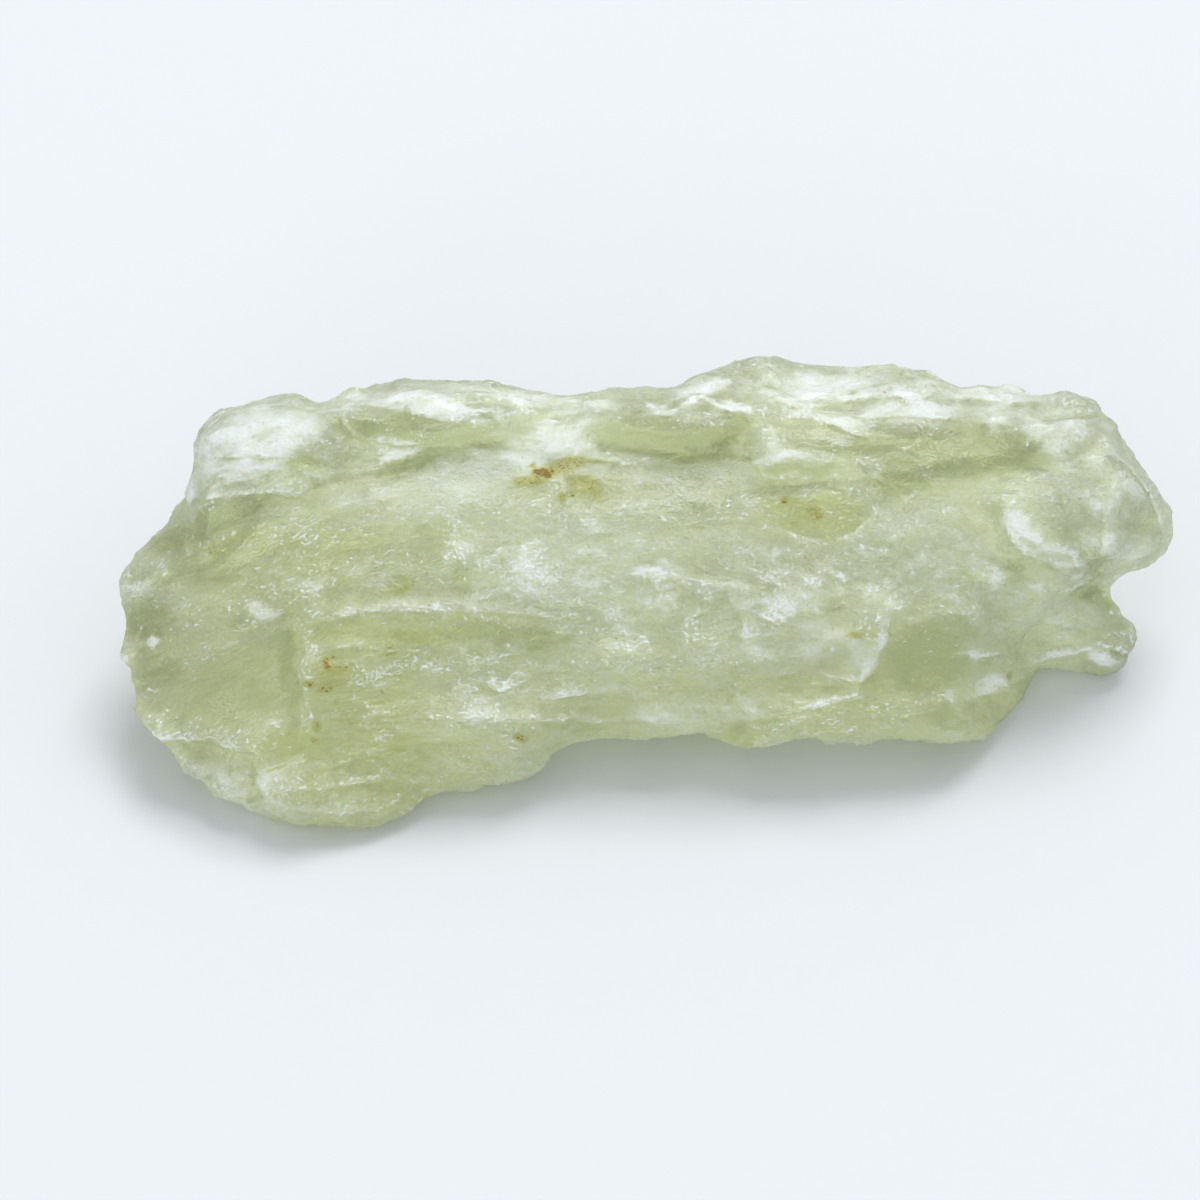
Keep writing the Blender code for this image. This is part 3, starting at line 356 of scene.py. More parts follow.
SWIRL_REACH = (1.0, 0.8, 1.0)               # how far the swirl bends along u, v and w
SWEEP_START, SWEEP = -12.0, 0.012           # left of this u the flow bands sweep down
COARSE_STEPS, COARSE_RISER = 5.0, 0.3       # terraces in one swing, steep share of each
FINE_STEPS, FINE_RISER = 3.0, 0.35
FINE_SHARE = 0.5                            # height of a fine terrace beside a coarse one
NICK_STEPS, NICK_RISER = 2.5, 0.3
NICK_BAND = 1.6                             # the higher, the closer to the rim nicks keep
PIT_SHARE = 0.6                             # depth of a small pit beside a shell scar
CELL_MEAN = 0.25                            # keeps the scars from swelling the glass
CONTRAST = 0.9                              # turns noise into a share of 0 to 1
CALM_WEAR, CALM_CLOUDS, CALM_EDGE = 0.7, 0.6, 0.8   # what calm places lose, and their border
CLOUDLET_SHARE, SMALL_MOTTLE_SHARE = 0.6, 0.8       # beside the clouds and the mottles
PATCH_SPAN = 0.5                                    # the lower, the harder the far patches
PALE_STRENGTH = 0.6
FAR_FROST, FAR_PITS, FAR_GREEN = 0.3, 0.4, 0.5      # strengths of the marks on the far side
CLOSE_EDGE, HAZY_EDGE, BROAD_EDGE = 1.0, 1.2, 1.6   # how soft the marks' borders are


# ---------------------------------------------------------------- sizes and colours to change
class DesertGlassShape(bpy.types.PropertyGroup):
    """How fine the mesh is, and how deep the glass is worn."""

    grain: bpy.props.FloatProperty(
        name="Mesh grain", description="Voxel size of the fine mesh, in millimetres",
        default=0.14, min=0.1, max=1.0)
    triangles: bpy.props.IntProperty(
        name="Triangles", description="Most triangles that the fine mesh may have",
        default=194000, min=10000, max=199000)
    relax: bpy.props.IntProperty(
        name="Relax", description="Passes that round off the packed solid's facets",
        default=8, min=0, max=50)
    ledge_scale: bpy.props.FloatProperty(
        name="Ledge depth", description="Scales the rise of the crisp ledges",
        default=1.0, min=0.0, max=3.0)
    terrace: bpy.props.FloatProperty(
        name="Terrace", description="Height of one worn flow-band terrace, in millimetres",
        default=0.055, min=0.0, max=1.0)
    lump: bpy.props.FloatProperty(
        name="Lumps", description="Height of the soft lumps, in millimetres",
        default=0.12, min=0.0, max=1.0)
    scallop: bpy.props.FloatProperty(
        name="Scallop", description="Depth of the shell-shaped scars, in millimetres",
        default=0.15, min=0.0, max=1.0)
    nick: bpy.props.FloatProperty(
        name="Nicks", description="Height of the small nicks around the rim, in millimetres",
        default=0.09, min=0.0, max=1.0)
    flute: bpy.props.FloatProperty(
        name="Flute", description="Height of the fine wind flutes, in millimetres",
        default=0.03, min=0.0, max=1.0)


class DesertGlassFinish(bpy.types.PropertyGroup):
    """Colours and surface of the glass; colours are sRGB hex values."""

    clear: bpy.props.StringProperty(
        name="Clear glass", description="Colour of the plain satin glass", default="#F3F7DA")
    # Also the colour of the painted glints, and of the painted highlight on lips and ledge crests.
    frost: bpy.props.StringProperty(
        name="Frosted glass", description="Colour where the wind has frosted it",
        default="#F4F9FF")
    # Also the colour of the painted shade under ledges and in the hollows.
    green: bpy.props.StringProperty(
        name="Deep glass", description="Colour of the clearer, greener hollows",
        default="#D5DCAD")
    yellow: bpy.props.StringProperty(
        name="Yellow bands", description="Colour of the yellower flow bands", default="#E8EBA6")
    # Also used for the darker dots at the bottoms of the bump's hollows.
    dark: bpy.props.StringProperty(
        name="Dark grains", description="Colour of the fine olive grains", default="#B4B884")
    rust: bpy.props.StringProperty(
        name="Rust", description="Colour of the iron stains", default="#80660E")
    ochre: bpy.props.StringProperty(
        name="Ochre", description="Colour of the haze around the iron stains",
        default="#C8C66C")
    speck: bpy.props.StringProperty(
        name="Specks", description="Colour of the tiny dark inclusions", default="#6E6640")
    roughness: bpy.props.FloatProperty(
        name="Roughness", description="Roughness of the satin skin", default=0.33,
        min=0.0, max=1.0, subtype="FACTOR")
    transmission: bpy.props.FloatProperty(
        name="Transmission", description="How much of the plain glass is see-through",
        default=0.74, min=0.0, max=1.0, subtype="FACTOR")
    refraction: bpy.props.FloatProperty(
        name="IOR", description="Refractive index of silica glass", default=1.46,
        min=1.0, max=2.0)
    glow: bpy.props.FloatProperty(
        name="Glow", description="How far light spreads in the cloudy glass, in millimetres",
        default=4.0, min=0.0, max=20.0)
    absorb: bpy.props.StringProperty(
        name="Body tint", description="Colour that the glass lets through", default="#DEE4B8")
    density: bpy.props.FloatProperty(
        name="Tint strength", description="Absorption per metre of glass", default=47.0,
        min=0.0, max=2000.0)


class DesertGlassStage(bpy.types.PropertyGroup):
    """Floor, light and camera."""

    floor_colour: bpy.props.StringProperty(
        name="Floor", description="Colour of the seamless floor, sRGB hex", default="#D9DCE0")
    floor_radius: bpy.props.FloatProperty(
        name="Floor radius", description="Radius of the round floor", default=3.0,
        unit="LENGTH")
    distance: bpy.props.FloatProperty(
        name="Camera distance", description="From the lens to the glass", default=0.45,
        unit="LENGTH")
    width: bpy.props.FloatProperty(
        name="Width in view", description="Width of the square view at the glass",
        default=0.072, unit="LENGTH")
    elevation: bpy.props.FloatProperty(
        name="Elevation", description="Height of the camera above the horizon",
        default=FACE_PITCH, subtype="ANGLE", unit="ROTATION")
    aim: bpy.props.FloatProperty(
        name="Aim", description="How far right of the face's middle the camera aims",
        default=-0.0027, unit="LENGTH")
    key: bpy.props.FloatProperty(
        name="Key light", description="Power of the large soft light", default=6.1,
        unit="POWER")
    front: bpy.props.FloatProperty(
        name="Front card", description="Power of the low light from the front left",
        default=0.5, unit="POWER")
    fill: bpy.props.FloatProperty(
        name="Sky light", description="Strength of the even light from all sides",
        default=0.8)


# ---------------------------------------------------------------- small helpers
def linear(code):
    """Turn an sRGB hex value into linear RGBA."""
    channels = [int(code[i:i + 2], 16) / 255.0 for i in (1, 3, 5)]
    return tuple(c / 12.92 if c <= 0.04045 else ((c + 0.055) / 1.055)**2.4
                 for c in channels) + (1.0,)


def smooth(x):
    """Go from 0 to 1 with level ends as x goes from 0 to 1."""
    x = np.clip(x, 0.0, 1.0)
    return x * x * (3.0 - 2.0 * x)


def noise_field(points, size, seed):
    """Perlin noise, about -1 to 1, at points in millimetres; size is its grain along each axis."""
    rows = points / np.array(size) + seed
    return np.array([noise.noise(Vector(row)) for row in rows])


def cell_field(points, size, seed):
    """Distance to the nearest of scattered points, about 0 to 1, with grain size."""
    rows = points / np.array(size) + seed
    return np.array([noise.voronoi(Vector(row))[0][0] for row in rows])


def from_path(path, u, v):
    """Return each point's distance from an open path, its side (+1 left) and its overshoot."""
    path = np.array(path, dtype=float)
    best = np.full(u.shape, math.inf)
    side = np.ones(u.shape)
    over = np.zeros(u.shape)
    last = len(path) - 2
    for index in range(last + 1):
        a, b = path[index], path[index + 1]
        along = b - a
        length = math.hypot(*along)
        du, dv = u - a[0], v - a[1]
        t = (du * along[0] + dv * along[1]) / length**2
        held = np.clip(t, 0.0, 1.0)
        gap = np.hypot(du - held * along[0], dv - held * along[1])
        nearer = gap < best
        past = np.zeros(u.shape)
        if index == 0:
            past = np.maximum(past, -t * length)
        if index == last:
            past = np.maximum(past, (t - 1.0) * length)
        best = np.where(nearer, gap, best)
        side = np.where(nearer, np.where(along[0] * dv - along[1] * du >= 0.0, 1.0, -1.0), side)
        over = np.where(nearer, past, over)
    return best, side, over


def ledge(path, rise, width, reach, u, v):
    """A crisp step up to the left of a path, whose top falls back over reach."""
    gap, side, over = from_path(path, u, v)
    signed = gap * side
    top = smooth(signed / width + 0.5) * np.exp(-np.maximum(signed - width, 0.0) / reach)
    return rise * top * (1.0 - smooth(over / LEDGE_FADE))


def frosted_lit_crests_and_shaded_lees(u, v):
    """Return how far each point lies on the frosted lip of a ledge, painted lighter as highlight,
    and on the sheltered side under one, painted greener and darker as shade.
    """
    frosted_lit_crest, clear_shaded_lee = np.zeros(u.shape), np.zeros(u.shape)
    for path, rise, _, reach in LEDGES:
        gap, side, over = from_path(path, u, v)
        strength = min(1.0, rise / FULL_RISE) * (1.0 - smooth(over / LEDGE_FADE))
        frosted_lit_crest = np.maximum(frosted_lit_crest, strength * np.exp(-gap / (CREST_REACH * reach)) * (side > 0.0))
        clear_shaded_lee = np.maximum(clear_shaded_lee, strength * np.exp(-gap / (LEE_REACH * reach)) * (side < 0.0))
    return frosted_lit_crest, clear_shaded_lee


def ovals(marks, u, v, edge):
    """Strength of the strongest mark at each point; edge is how soft its border is."""
    total = np.zeros(u.shape)
    for centre, radii, turn, strength in marks:
        cosine, sine = math.cos(math.radians(turn)), math.sin(math.radians(turn))
        du, dv = u - centre[0], v - centre[1]
        away = np.hypot((cosine * du + sine * dv) / radii[0], (cosine * dv - sine * du) / radii[1])
        total = np.maximum(total, strength * smooth((1.0 + edge / 2 - away) / edge))
    return total


def stepped(field, riser):
    """Turn a smooth field into whole steps; riser is the share of each step that is steep."""
    whole = np.floor(field)
    return whole + smooth((field - whole - 0.5) / riser + 0.5)


def add_node(tree, kind, inputs=None, **settings):
    """Add a node with its settings; an input that is given as a socket is linked."""
    node = tree.nodes.new(kind)
    for name, value in settings.items():
        setattr(node, name, value)
    for name, value in (inputs or {}).items():
        if isinstance(value, bpy.types.NodeSocket):
            tree.links.new(value, node.inputs[name])
        else:
            node.inputs[name].default_value = value
    return node


# ---------------------------------------------------------------- the fragment's mesh
def baked_copy(source, name):
    """Bake an object as the viewport shows it into a new mesh object, and remove the old one."""
    bpy.context.view_layer.update()
    evaluated = source.evaluated_get(bpy.context.evaluated_depsgraph_get())
    mesh = bpy.data.meshes.new_from_object(evaluated)
    baked = bpy.data.objects.new(name, mesh)
    bpy.context.scene.collection.objects.link(baked)
    bpy.data.objects.remove(source, do_unlink=True)
    return baked


def even_mesh(node, shape):
    """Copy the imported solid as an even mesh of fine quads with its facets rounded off."""
    copy = bpy.data.objects.new("grain", node.data.copy())
    bpy.context.scene.collection.objects.link(copy)
    weld = copy.modifiers.new("close", "WELD")
    weld.merge_threshold = WELD_GAP
    remesh = copy.modifiers.new("even_grain", "REMESH")
    remesh.mode = "VOXEL"
    remesh.voxel_size = shape.grain * MM
    relax = copy.modifiers.new("round_off", "SMOOTH")
    relax.factor = RELAX_STEP
    relax.iterations = shape.relax
    return baked_copy(copy, "grain")


def read(mesh):
    """Return the mesh's points in millimetres and its normals."""
    points = np.empty(len(mesh.vertices) * 3)
    mesh.vertices.foreach_get("co", points)
    normals = np.empty(len(mesh.vertices) * 3)
    mesh.vertex_normals.foreach_get("vector", normals)
    return points.reshape(-1, 3) / MM, normals.reshape(-1, 3)


def to_face(points):
    """Turn points of the frame into (u, v, w) of the broad face."""
    return (points - np.array(FACE_ORIGIN)) @ np.stack((ALONG, UP_FACE, OUT_OF_FACE)).T


def flow_place(place):
    """Bend the face so that the flow bands, straight in the result, sweep down to the left."""
    u = place[:, 0]
    bend = SWEEP * np.clip(SWEEP_START - u, 0.0, None)**2
    return place + np.stack((np.zeros(len(u)), bend, np.zeros(len(u))), axis=1)


def wear(mesh, shape):
    """Cut ledges, flow-band terraces, shell-shaped scars and flutes into the glass."""
    points, normals = read(mesh)
    place = to_face(points)
    u, v = place[:, 0], place[:, 1]
    facing = normals @ OUT_OF_FACE
    front = smooth((facing - WORN_FACE[0]) / WORN_FACE[1])

    flow = flow_place(place)
    bent = flow + noise_field(place, *SWIRL)[:, None] * np.array(SWIRL_REACH)
    coarse = stepped(COARSE_STEPS * noise_field(bent, *COARSE_BANDS), COARSE_RISER)
    fine = stepped(FINE_STEPS * noise_field(bent, *FINE_BANDS), FINE_RISER)
    terraces = shape.terrace * (coarse + FINE_SHARE * fine)
    scars = shape.scallop * (cell_field(bent, *SHELL_SCARS)**2 - CELL_MEAN)
    lumps = shape.lump * noise_field(bent, *SOFT_LUMPS)
    windy = smooth(0.5 + CONTRAST * noise_field(place, *WINDWARD))
    pits = shape.scallop * (cell_field(place, *SMALL_PITS)**2 - CELL_MEAN)
    flutes = shape.flute * noise_field(flow, *WIND_FLUTES)
    flutes = flutes * windy + PIT_SHARE * pits * (1.0 - windy)
    nicks = stepped(NICK_STEPS * noise_field(place, *RIM_NICKS), NICK_RISER)
    nicks = shape.nick * smooth(1.0 - NICK_BAND * np.abs(facing)) * nicks
    rough = 1.0 - CALM_WEAR * front * ovals(CALM, u, v, CALM_EDGE)
    ledges = np.zeros(len(u))
    for path, rise, width, reach in LEDGES:
        ledges += ledge(path, rise, width, reach, u, v)

    above_ground = smooth((points[:, 2] - ABOVE_GROUND[0]) / ABOVE_GROUND[1])
    worn = (terraces + scars + flutes + lumps) * rough + nicks
    moved = (points
             + normals * (worn * above_ground)[:, None]
             + OUT_OF_FACE * (shape.ledge_scale * ledges * front * above_ground)[:, None])
    low, high = np.array(CAD_LOW) / MM, np.array(CAD_HIGH) / MM
    mesh.vertices.foreach_set("co", (np.clip(moved, low, high) * MM).ravel())
    mesh.update()


def thin_out(piece, triangles):
    """Collapse the mesh to at most this many triangles, and the far side more than the face."""
    _, normals = read(piece.data)
    behind = smooth((THINNED_BACK[0] - normals @ OUT_OF_FACE) / THINNED_BACK[1])
    far_side = piece.vertex_groups.new(name="far_side")
    for level in range(WEIGHT_LEVELS + 1):
        chosen = np.nonzero(np.round(behind * WEIGHT_LEVELS) == level)[0]
        weight = FACE_WEIGHT + (1.0 - FACE_WEIGHT) * level / WEIGHT_LEVELS
        far_side.add(chosen.tolist(), weight, "REPLACE")
    piece.data.calc_loop_triangles()
    decimate = piece.modifiers.new("thin_out", "DECIMATE")
    decimate.ratio = min(1.0, triangles / len(piece.data.loop_triangles))
    decimate.vertex_group = far_side.name
    decimate.vertex_group_factor = WEIGHT_PULL
    return baked_copy(piece, PIECE)


def lip_field(mesh, points, normals, rounds):
    """How far each point stands proud of its neighbours: lips above 0, creases below."""
    edges = np.empty(len(mesh.edges) * 2, dtype=int)
    mesh.edges.foreach_get("vertices", edges)
    a, b = edges[0::2], edges[1::2]
    count = np.bincount(edges, minlength=len(points))[:, None]
    blurred = points
    for _ in range(rounds):
        total = np.zeros(points.shape)
        for axis in range(3):
            total[:, axis] = (np.bincount(a, blurred[b, axis], len(points))
                              + np.bincount(b, blurred[a, axis], len(points)))
        blurred = total / count
    return np.sum((points - blurred) * normals, axis=1)


def store(mesh, name, values):
    """Keep one number, or one vector, for each point."""
    kind, key = ("FLOAT", "value") if values.ndim == 1 else ("FLOAT_VECTOR", "vector")
    layer = mesh.attributes.new(name, kind, "POINT")
    layer.data.foreach_set(key, values.astype(np.float32).ravel())


def torn(place):
    """Return u and v strayed a little, so that the marks' borders look torn and not drawn."""
    strayed = []
    for axis in (0, 1):
        value = place[:, axis]
        for reach, grain, starts in TORN_BORDERS:
            value = value + reach * noise_field(place, grain, starts[axis])
        strayed.append(value)
    return strayed


def mark(mesh):
    """Store where the glass is frosted, deep green, yellow, stained and specked, with painted
    highlight on lips and ledge crests and painted shade under ledges and in creases.
    """
    points, normals = read(mesh)
    place = to_face(points)
    flow = flow_place(place)
    u, v = place[:, 0], place[:, 1]
    frayed = torn(place)
    front = smooth(normals @ OUT_OF_FACE / MARKED_FACE_SPAN)
    back = 1.0 - front
    patches = smooth(noise_field(place, *FAR_PATCHES) / PATCH_SPAN)
    uneven = 1.0 - CALM_CLOUDS * front * ovals(CALM, u, v, CALM_EDGE)
    clouds = noise_field(flow, *CLOUDS) + CLOUDLET_SHARE * noise_field(flow, *CLOUDLETS)
    clouds = clouds * uneven
    mottles = noise_field(flow, *MOTTLES)
    mottles = (mottles + SMALL_MOTTLE_SHARE * noise_field(flow, *SMALL_MOTTLES)) * uneven

    # Fine lips and creases, then the lip and the sheltered side of each ledge, broken off in
    # places. Lips and ledge crests are painted lighter as highlight on top of their frost; creases
    # and the sheltered sides are painted darker and greener as shade.
    lips = np.clip(lip_field(mesh, points, normals, LIP_ROUNDS) / LIP_HEIGHT, -1.0, 1.0)
    broken = front * smooth(0.5 + CONTRAST * noise_field(place, *BROKEN_LIPS))
    frosted_lit_crest, clear_shaded_lee = frosted_lit_crests_and_shaded_lees(*(0.5 * (place[:, :2].T + np.array(frayed))))
    frosted_lit_crest, clear_shaded_lee = broken * frosted_lit_crest, broken * clear_shaded_lee

    # Paler glass, and painted light on the treads and the lower face.
    pale = PALE_STRENGTH * front * ovals(PALE_AND_PAINTED_LIGHT, *frayed, BROAD_EDGE)
    frost = front * ovals(FROST, *frayed, CLOSE_EDGE) + FAR_FROST * back * patches
    pitted = front * ovals(PITTED, *frayed, CLOSE_EDGE) + FAR_PITS * back * patches
    # Green ovals on the face: clearer glass of the hollows, with painted shade in them.
    green = front * ovals(GREEN_AND_PAINTED_SHADE, *frayed, CLOSE_EDGE) + FAR_GREEN * back * (1.0 - patches)

    store(mesh, "place_mm", place)
    store(mesh, "flow_mm", flow)
    # Each number is the share that one kind of mark adds to another or takes from it.
    zones = frost + pale + 0.4 * pitted - 0.5 * green
    # Painted light: lips, ledge crests and the pale ovals are whitened as highlight besides their
    # frost; creases and the sheltered sides of ledges are whitened less, as painted shade.
    store(mesh, "milky_and_highlit", zones + 0.33 * clouds + 0.15 * lips + 0.4 * (frosted_lit_crest - clear_shaded_lee))
    # Lips and ledge crests also get more painted glints.
    store(mesh, "pitted", pitted + 0.3 * frost + 0.3 * lips + 0.3 * frosted_lit_crest)
    # Painted shade: the green share rises on the sheltered side under each ledge and falls on its
    # lit crest.
    store(mesh, "green", green + 0.4 * mottles + 0.5 * clear_shaded_lee - 0.4 * frosted_lit_crest)
    store(mesh, "yellow", front * ovals(YELLOW, *frayed, HAZY_EDGE))
    store(mesh, "rust", front * ovals(RUST, u, v, CLOSE_EDGE))
    store(mesh, "speck", front * ovals(SPECKS, u, v, CLOSE_EDGE))


# ---------------------------------------------------------------- the glass
ZONES = ("milky_and_highlit", "pitted", "green", "yellow", "rust", "speck")
# Noise in the glass: (place it follows, grain along u, v and w in millimetres, detail).
GRAINS = {
    "fleck": ("place_mm", (0.30, 0.22, 0.25), 1.0),     # fine pits, 0.1 to 0.3 mm across
    "striae": ("flow_mm", (1.8, 0.2, 0.5), 1.0),        # flow striae, millimetres long
    "peaks": ("flow_mm", (0.2, 0.15, 0.17), 0.0),       # broken pits: the bump's height, which also places the painted glints and the dark dots
}
GRAIN_ROUGHNESS = 0.6
# Looks, each over the ones before it: name, colour, field, what is added to the field,
# (sum where it starts to show, sum where it is full), (cover before, cover when full).
LOOKS = (
    ("yellow", "yellow", "yellow", {"striae": 0.5}, (0.2, 1.2), (0.0, 1.0)),
    ("green", "green", "green", {"striae": 0.5}, (0.15, 1.0), (0.0, 1.0)),
    ("milky_and_highlit", "frost", "milky_and_highlit", {"striae": 0.5, "fleck": 0.3}, (0.3, 1.95), (0.0, 1.0)),
    ("flecks", "dark", "fleck", {}, (0.3, 0.6), (0.14, 0.0)),
    # Darker dots at the bottoms of the bump's hollows.
    ("grains", "dark", "peaks", {}, (0.14, 0.26), (0.4, 0.0)),
    # Painted glints: white frost-coloured dots on the highest points of the bump, mostly in the
    # pitted clusters.
    ("painted_glint", "frost", "peaks", {"pitted": 0.3, "green": -0.12}, (0.7, 0.82), (0.0, 1.0)),
    ("haze", "ochre", "rust", {"striae": 0.5}, (0.32, 0.8), (0.0, 0.85)),
    ("rust", "rust", "rust", {"peaks": 0.9}, (0.98, 1.4), (0.0, 1.0)),
    ("speck", "speck", "speck", {}, (0.35, 1.1), (0.0, 0.8)),
)
YELLOW_CLOUD = 0.15             # how much the yellow bands count as frosted
FROST_SEE_THROUGH = 0.35        # transmission of fully frosted glass
STAIN_SEE_THROUGH = 0.25        # share of it that a full stain leaves
FROST_ROUGHNESS = 0.5
FLECK_ROUGHNESS, GREEN_ROUGHNESS = 0.08, -0.03      # what flecks and deep glass add to it
GLINT_RELIEF, GLINT_DEPTH = 0.5, 0.12               # bump strength, and depth in millimetres
GLOW_RADII = (1.0, 1.0, 0.8)                        # red and green light spread further


def silica_glass(finish):
    """Natural silica glass, worn satin by windblown sand.

    The eye sees a pale yellow-green body that lets light through but blurs it, whiter where
    sand has frosted the lips and treads, clearer and greener in the sheltered hollows.
    Its colour also holds painted light: painted highlights and glints on lips, crests and
    treads, and painted shade under the ledges and in the hollows.
    """
    material = bpy.data.materials.new("wind_worn_silica_glass")
    material.use_nodes = True
    tree = material.node_tree
    tree.nodes.clear()

    field = {name: add_node(tree, "ShaderNodeAttribute", attribute_name=name).outputs["Fac"]
             for name in ZONES}
    for name, (along, grain, detail) in GRAINS.items():
        place = add_node(tree, "ShaderNodeAttribute", attribute_name=along)
        scaled = add_node(tree, "ShaderNodeVectorMath",
                          {0: place.outputs["Vector"], 1: tuple(1.0 / each for each in grain)},
                          operation="MULTIPLY")
        noise_node = add_node(tree, "ShaderNodeTexNoise",
                              {"Vector": scaled.outputs[0], "Scale": 1.0, "Detail": detail,
                               "Roughness": GRAIN_ROUGHNESS})
        field[name] = noise_node.outputs["Fac"]

    colour = linear(finish.clear)
    shown = {}
    for look, paint, base, added, (starts, full), (before, after) in LOOKS:
        total = field[base]
        for name, share in added.items():
            total = add_node(tree, "ShaderNodeMath", {0: field[name], 1: share, 2: total},
                             operation="MULTIPLY_ADD").outputs[0]
        shown[look] = add_node(tree, "ShaderNodeMapRange",
                               {"Value": total, "From Min": starts, "From Max": full,
                                "To Min": before, "To Max": after},
                               interpolation_type="SMOOTHSTEP").outputs[0]
        colour = add_node(tree, "ShaderNodeMix",
                          {0: shown[look], 6: colour, 7: linear(getattr(finish, paint))},
                          data_type="RGBA").outputs[2]

    white = add_node(tree, "ShaderNodeMath", {0: shown["milky_and_highlit"], 1: shown["painted_glint"]},
                     operation="MAXIMUM").outputs[0]
    white = add_node(tree, "ShaderNodeMath", {0: shown["yellow"], 1: YELLOW_CLOUD, 2: white},
                     operation="MULTIPLY_ADD").outputs[0]
    stained = add_node(tree, "ShaderNodeMath", {0: shown["rust"], 1: shown["speck"]},
                       operation="MAXIMUM").outputs[0]
    faded = [add_node(tree, "ShaderNodeMapRange",
                      {"Value": amount, "To Min": plain, "To Max": covered},
                      interpolation_type="SMOOTHSTEP").outputs[0]
             for amount, plain, covered in ((white, finish.transmission, FROST_SEE_THROUGH),
                                            (stained, 1.0, STAIN_SEE_THROUGH),
                                            (white, finish.roughness, FROST_ROUGHNESS))]
    unfrosted, unstained, satin = faded
    see_through = add_node(tree, "ShaderNodeMath", {0: unfrosted, 1: unstained},
                           operation="MULTIPLY").outputs[0]
    for amount, share in ((field["fleck"], FLECK_ROUGHNESS), (shown["green"], GREEN_ROUGHNESS)):
        satin = add_node(tree, "ShaderNodeMath", {0: amount, 1: share, 2: satin},
                         operation="MULTIPLY_ADD").outputs[0]

    glints = add_node(tree, "ShaderNodeBump", {"Height": field["peaks"], "Strength": GLINT_RELIEF,
                                               "Distance": GLINT_DEPTH * MM})
    shader = add_node(tree, "ShaderNodeBsdfPrincipled",
                      {"Base Color": colour, "Roughness": satin, "IOR": finish.refraction,
                       "Transmission Weight": see_through, "Normal": glints.outputs[0],
                       "Subsurface Weight": 1.0, "Subsurface Radius": GLOW_RADII,
                       "Subsurface Scale": finish.glow * MM},
                      subsurface_method="BURLEY")
    body = add_node(tree, "ShaderNodeVolumeAbsorption", {"Color": linear(finish.absorb),
                                                         "Density": finish.density})
    add_node(tree, "ShaderNodeOutputMaterial", {"Surface": shader.outputs[0],
                                                "Volume": body.outputs[0]})
    return material


class DESERTGLASS_OT_fragment(bpy.types.Operator):
    """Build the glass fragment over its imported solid"""

    bl_idname = "desertglass.fragment"
    bl_label = "Build fragment"

    def execute(self, context):
        shape = context.scene.desert_glass_shape
        grain = even_mesh(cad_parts[NODE], shape)
        wear(grain.data, shape)
        piece = thin_out(grain, shape.triangles)
        mark(piece.data)
        piece.data.materials.clear()
        piece.data.materials.append(silica_glass(context.scene.desert_glass_finish))
        piece.data.shade_smooth()
        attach(piece, "root")
        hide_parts(NODE)
        return {"FINISHED"}


# ---------------------------------------------------------------- the stage
SKY_COLOUR = "#F7FAFC"
FLOOR_SIDES = 96
SOFTBOX_PLACE, SOFTBOX_SIZE = (0.15, 0.42, 0.95), 0.5       # metres: high, behind the glass
CARD_PLACE, CARD_SIZE = (-0.22, -0.6, 0.2), 0.3             # metres: low, at the front left
SENSOR_WIDTH = 36.0                                         # millimetres
NEAREST_IN_VIEW = 0.01                                      # metres


def studio_board(colour):
    """Matt white laminate board: an even, pale surface with almost no shine."""
    material = bpy.data.materials.new("matt_studio_board")
    material.use_nodes = True
    shader = material.node_tree.nodes["Principled BSDF"]
    shader.inputs["Base Color"].default_value = linear(colour)
    shader.inputs["Roughness"].default_value = 0.8
    shader.inputs["Specular IOR Level"].default_value = 0.2
    return material


def soft_light(name, place, target, size, power):
    """Hang a square white softbox at place, aimed at target."""
    lamp = bpy.data.lights.new(name, "AREA")
    lamp.shape = "SQUARE"
    lamp.size = size
    lamp.energy = power
    holder = bpy.data.objects.new(name, lamp)
    holder.location = place
    holder.rotation_euler = (target - Vector(place)).to_track_quat("-Z", "Y").to_euler()
    bpy.context.scene.collection.objects.link(holder)


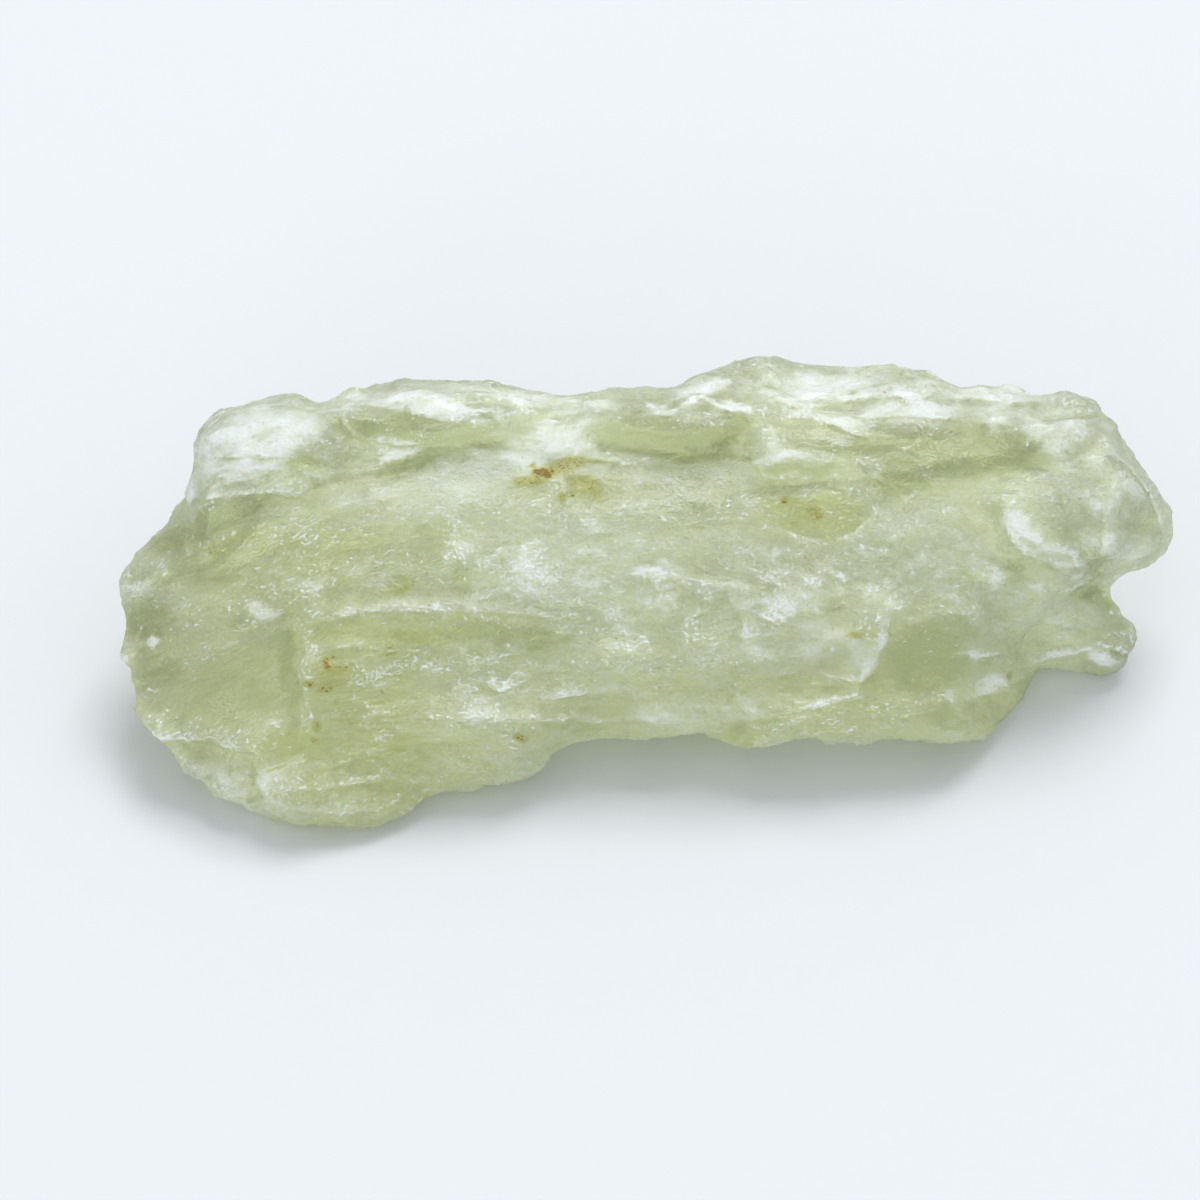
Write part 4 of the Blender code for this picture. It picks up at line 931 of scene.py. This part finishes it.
class DESERTGLASS_OT_stage(bpy.types.Operator):
    """Lay the floor, hang the lights and set up the camera"""

    bl_idname = "desertglass.stage"
    bl_label = "Set up stage"

    def execute(self, context):
        scene = context.scene
        stage = scene.desert_glass_stage
        bpy.ops.mesh.primitive_circle_add(vertices=FLOOR_SIDES, radius=stage.floor_radius,
                                          fill_type="NGON", location=(0.0, 0.0, CAD_LOW[2]))
        floor = context.active_object
        floor.name = "floor"
        floor.data.materials.append(studio_board(stage.floor_colour))

        world = bpy.data.worlds.new("even_sky")
        world.use_nodes = True
        sky = world.node_tree.nodes["Background"]
        sky.inputs["Color"].default_value = linear(SKY_COLOUR)
        sky.inputs["Strength"].default_value = stage.fill
        scene.world = world
        target = Vector(FACE_ORIGIN) * MM
        soft_light("softbox_key", SOFTBOX_PLACE, target, SOFTBOX_SIZE, stage.key)
        soft_light("card_front", CARD_PLACE, target, CARD_SIZE, stage.front)

        back = Vector((0.0, -math.cos(stage.elevation), math.sin(stage.elevation)))
        lens = bpy.data.cameras.new("camera")
        lens.sensor_width = SENSOR_WIDTH
        lens.lens = lens.sensor_width * stage.distance / stage.width
        lens.clip_start = NEAREST_IN_VIEW
        camera = bpy.data.objects.new("camera", lens)
        camera.location = target + Vector((stage.aim, 0.0, 0.0)) + back * stage.distance
        camera.rotation_euler = (-back).to_track_quat("-Z", "Y").to_euler()
        scene.collection.objects.link(camera)
        scene.camera = camera
        scene.view_settings.view_transform = "Standard"
        return {"FINISHED"}


class DESERTGLASS_PT_panel(bpy.types.Panel):
    """Buttons and settings in the 3D view's sidebar"""

    bl_idname = "DESERTGLASS_PT_panel"
    bl_label = "Desert glass"
    bl_space_type = "VIEW_3D"
    bl_region_type = "UI"
    bl_category = "Desert glass"

    def draw(self, context):
        scene = context.scene
        groups = ((scene.desert_glass_shape, DESERTGLASS_OT_fragment),
                  (scene.desert_glass_finish, None),
                  (scene.desert_glass_stage, DESERTGLASS_OT_stage))
        for group, operator in groups:
            box = self.layout.box()
            for name in group.__annotations__:
                box.prop(group, name)
            if operator:
                box.operator(operator.bl_idname)


CLASSES = (DesertGlassShape, DesertGlassFinish, DesertGlassStage,
           DESERTGLASS_OT_fragment, DESERTGLASS_OT_stage, DESERTGLASS_PT_panel)


def register():
    """Register the classes and hang the settings on the scene."""
    for each in CLASSES:
        bpy.utils.register_class(each)
    bpy.types.Scene.desert_glass_shape = bpy.props.PointerProperty(type=DesertGlassShape)
    bpy.types.Scene.desert_glass_finish = bpy.props.PointerProperty(type=DesertGlassFinish)
    bpy.types.Scene.desert_glass_stage = bpy.props.PointerProperty(type=DesertGlassStage)


def unregister():
    """Take the settings and the classes away again."""
    del bpy.types.Scene.desert_glass_stage
    del bpy.types.Scene.desert_glass_finish
    del bpy.types.Scene.desert_glass_shape
    for each in reversed(CLASSES):
        bpy.utils.unregister_class(each)


def main():
    """Build the fragment and its stage."""
    register()
    bpy.ops.desertglass.fragment()
    bpy.ops.desertglass.stage()


if __name__ == "__main__":
    main()
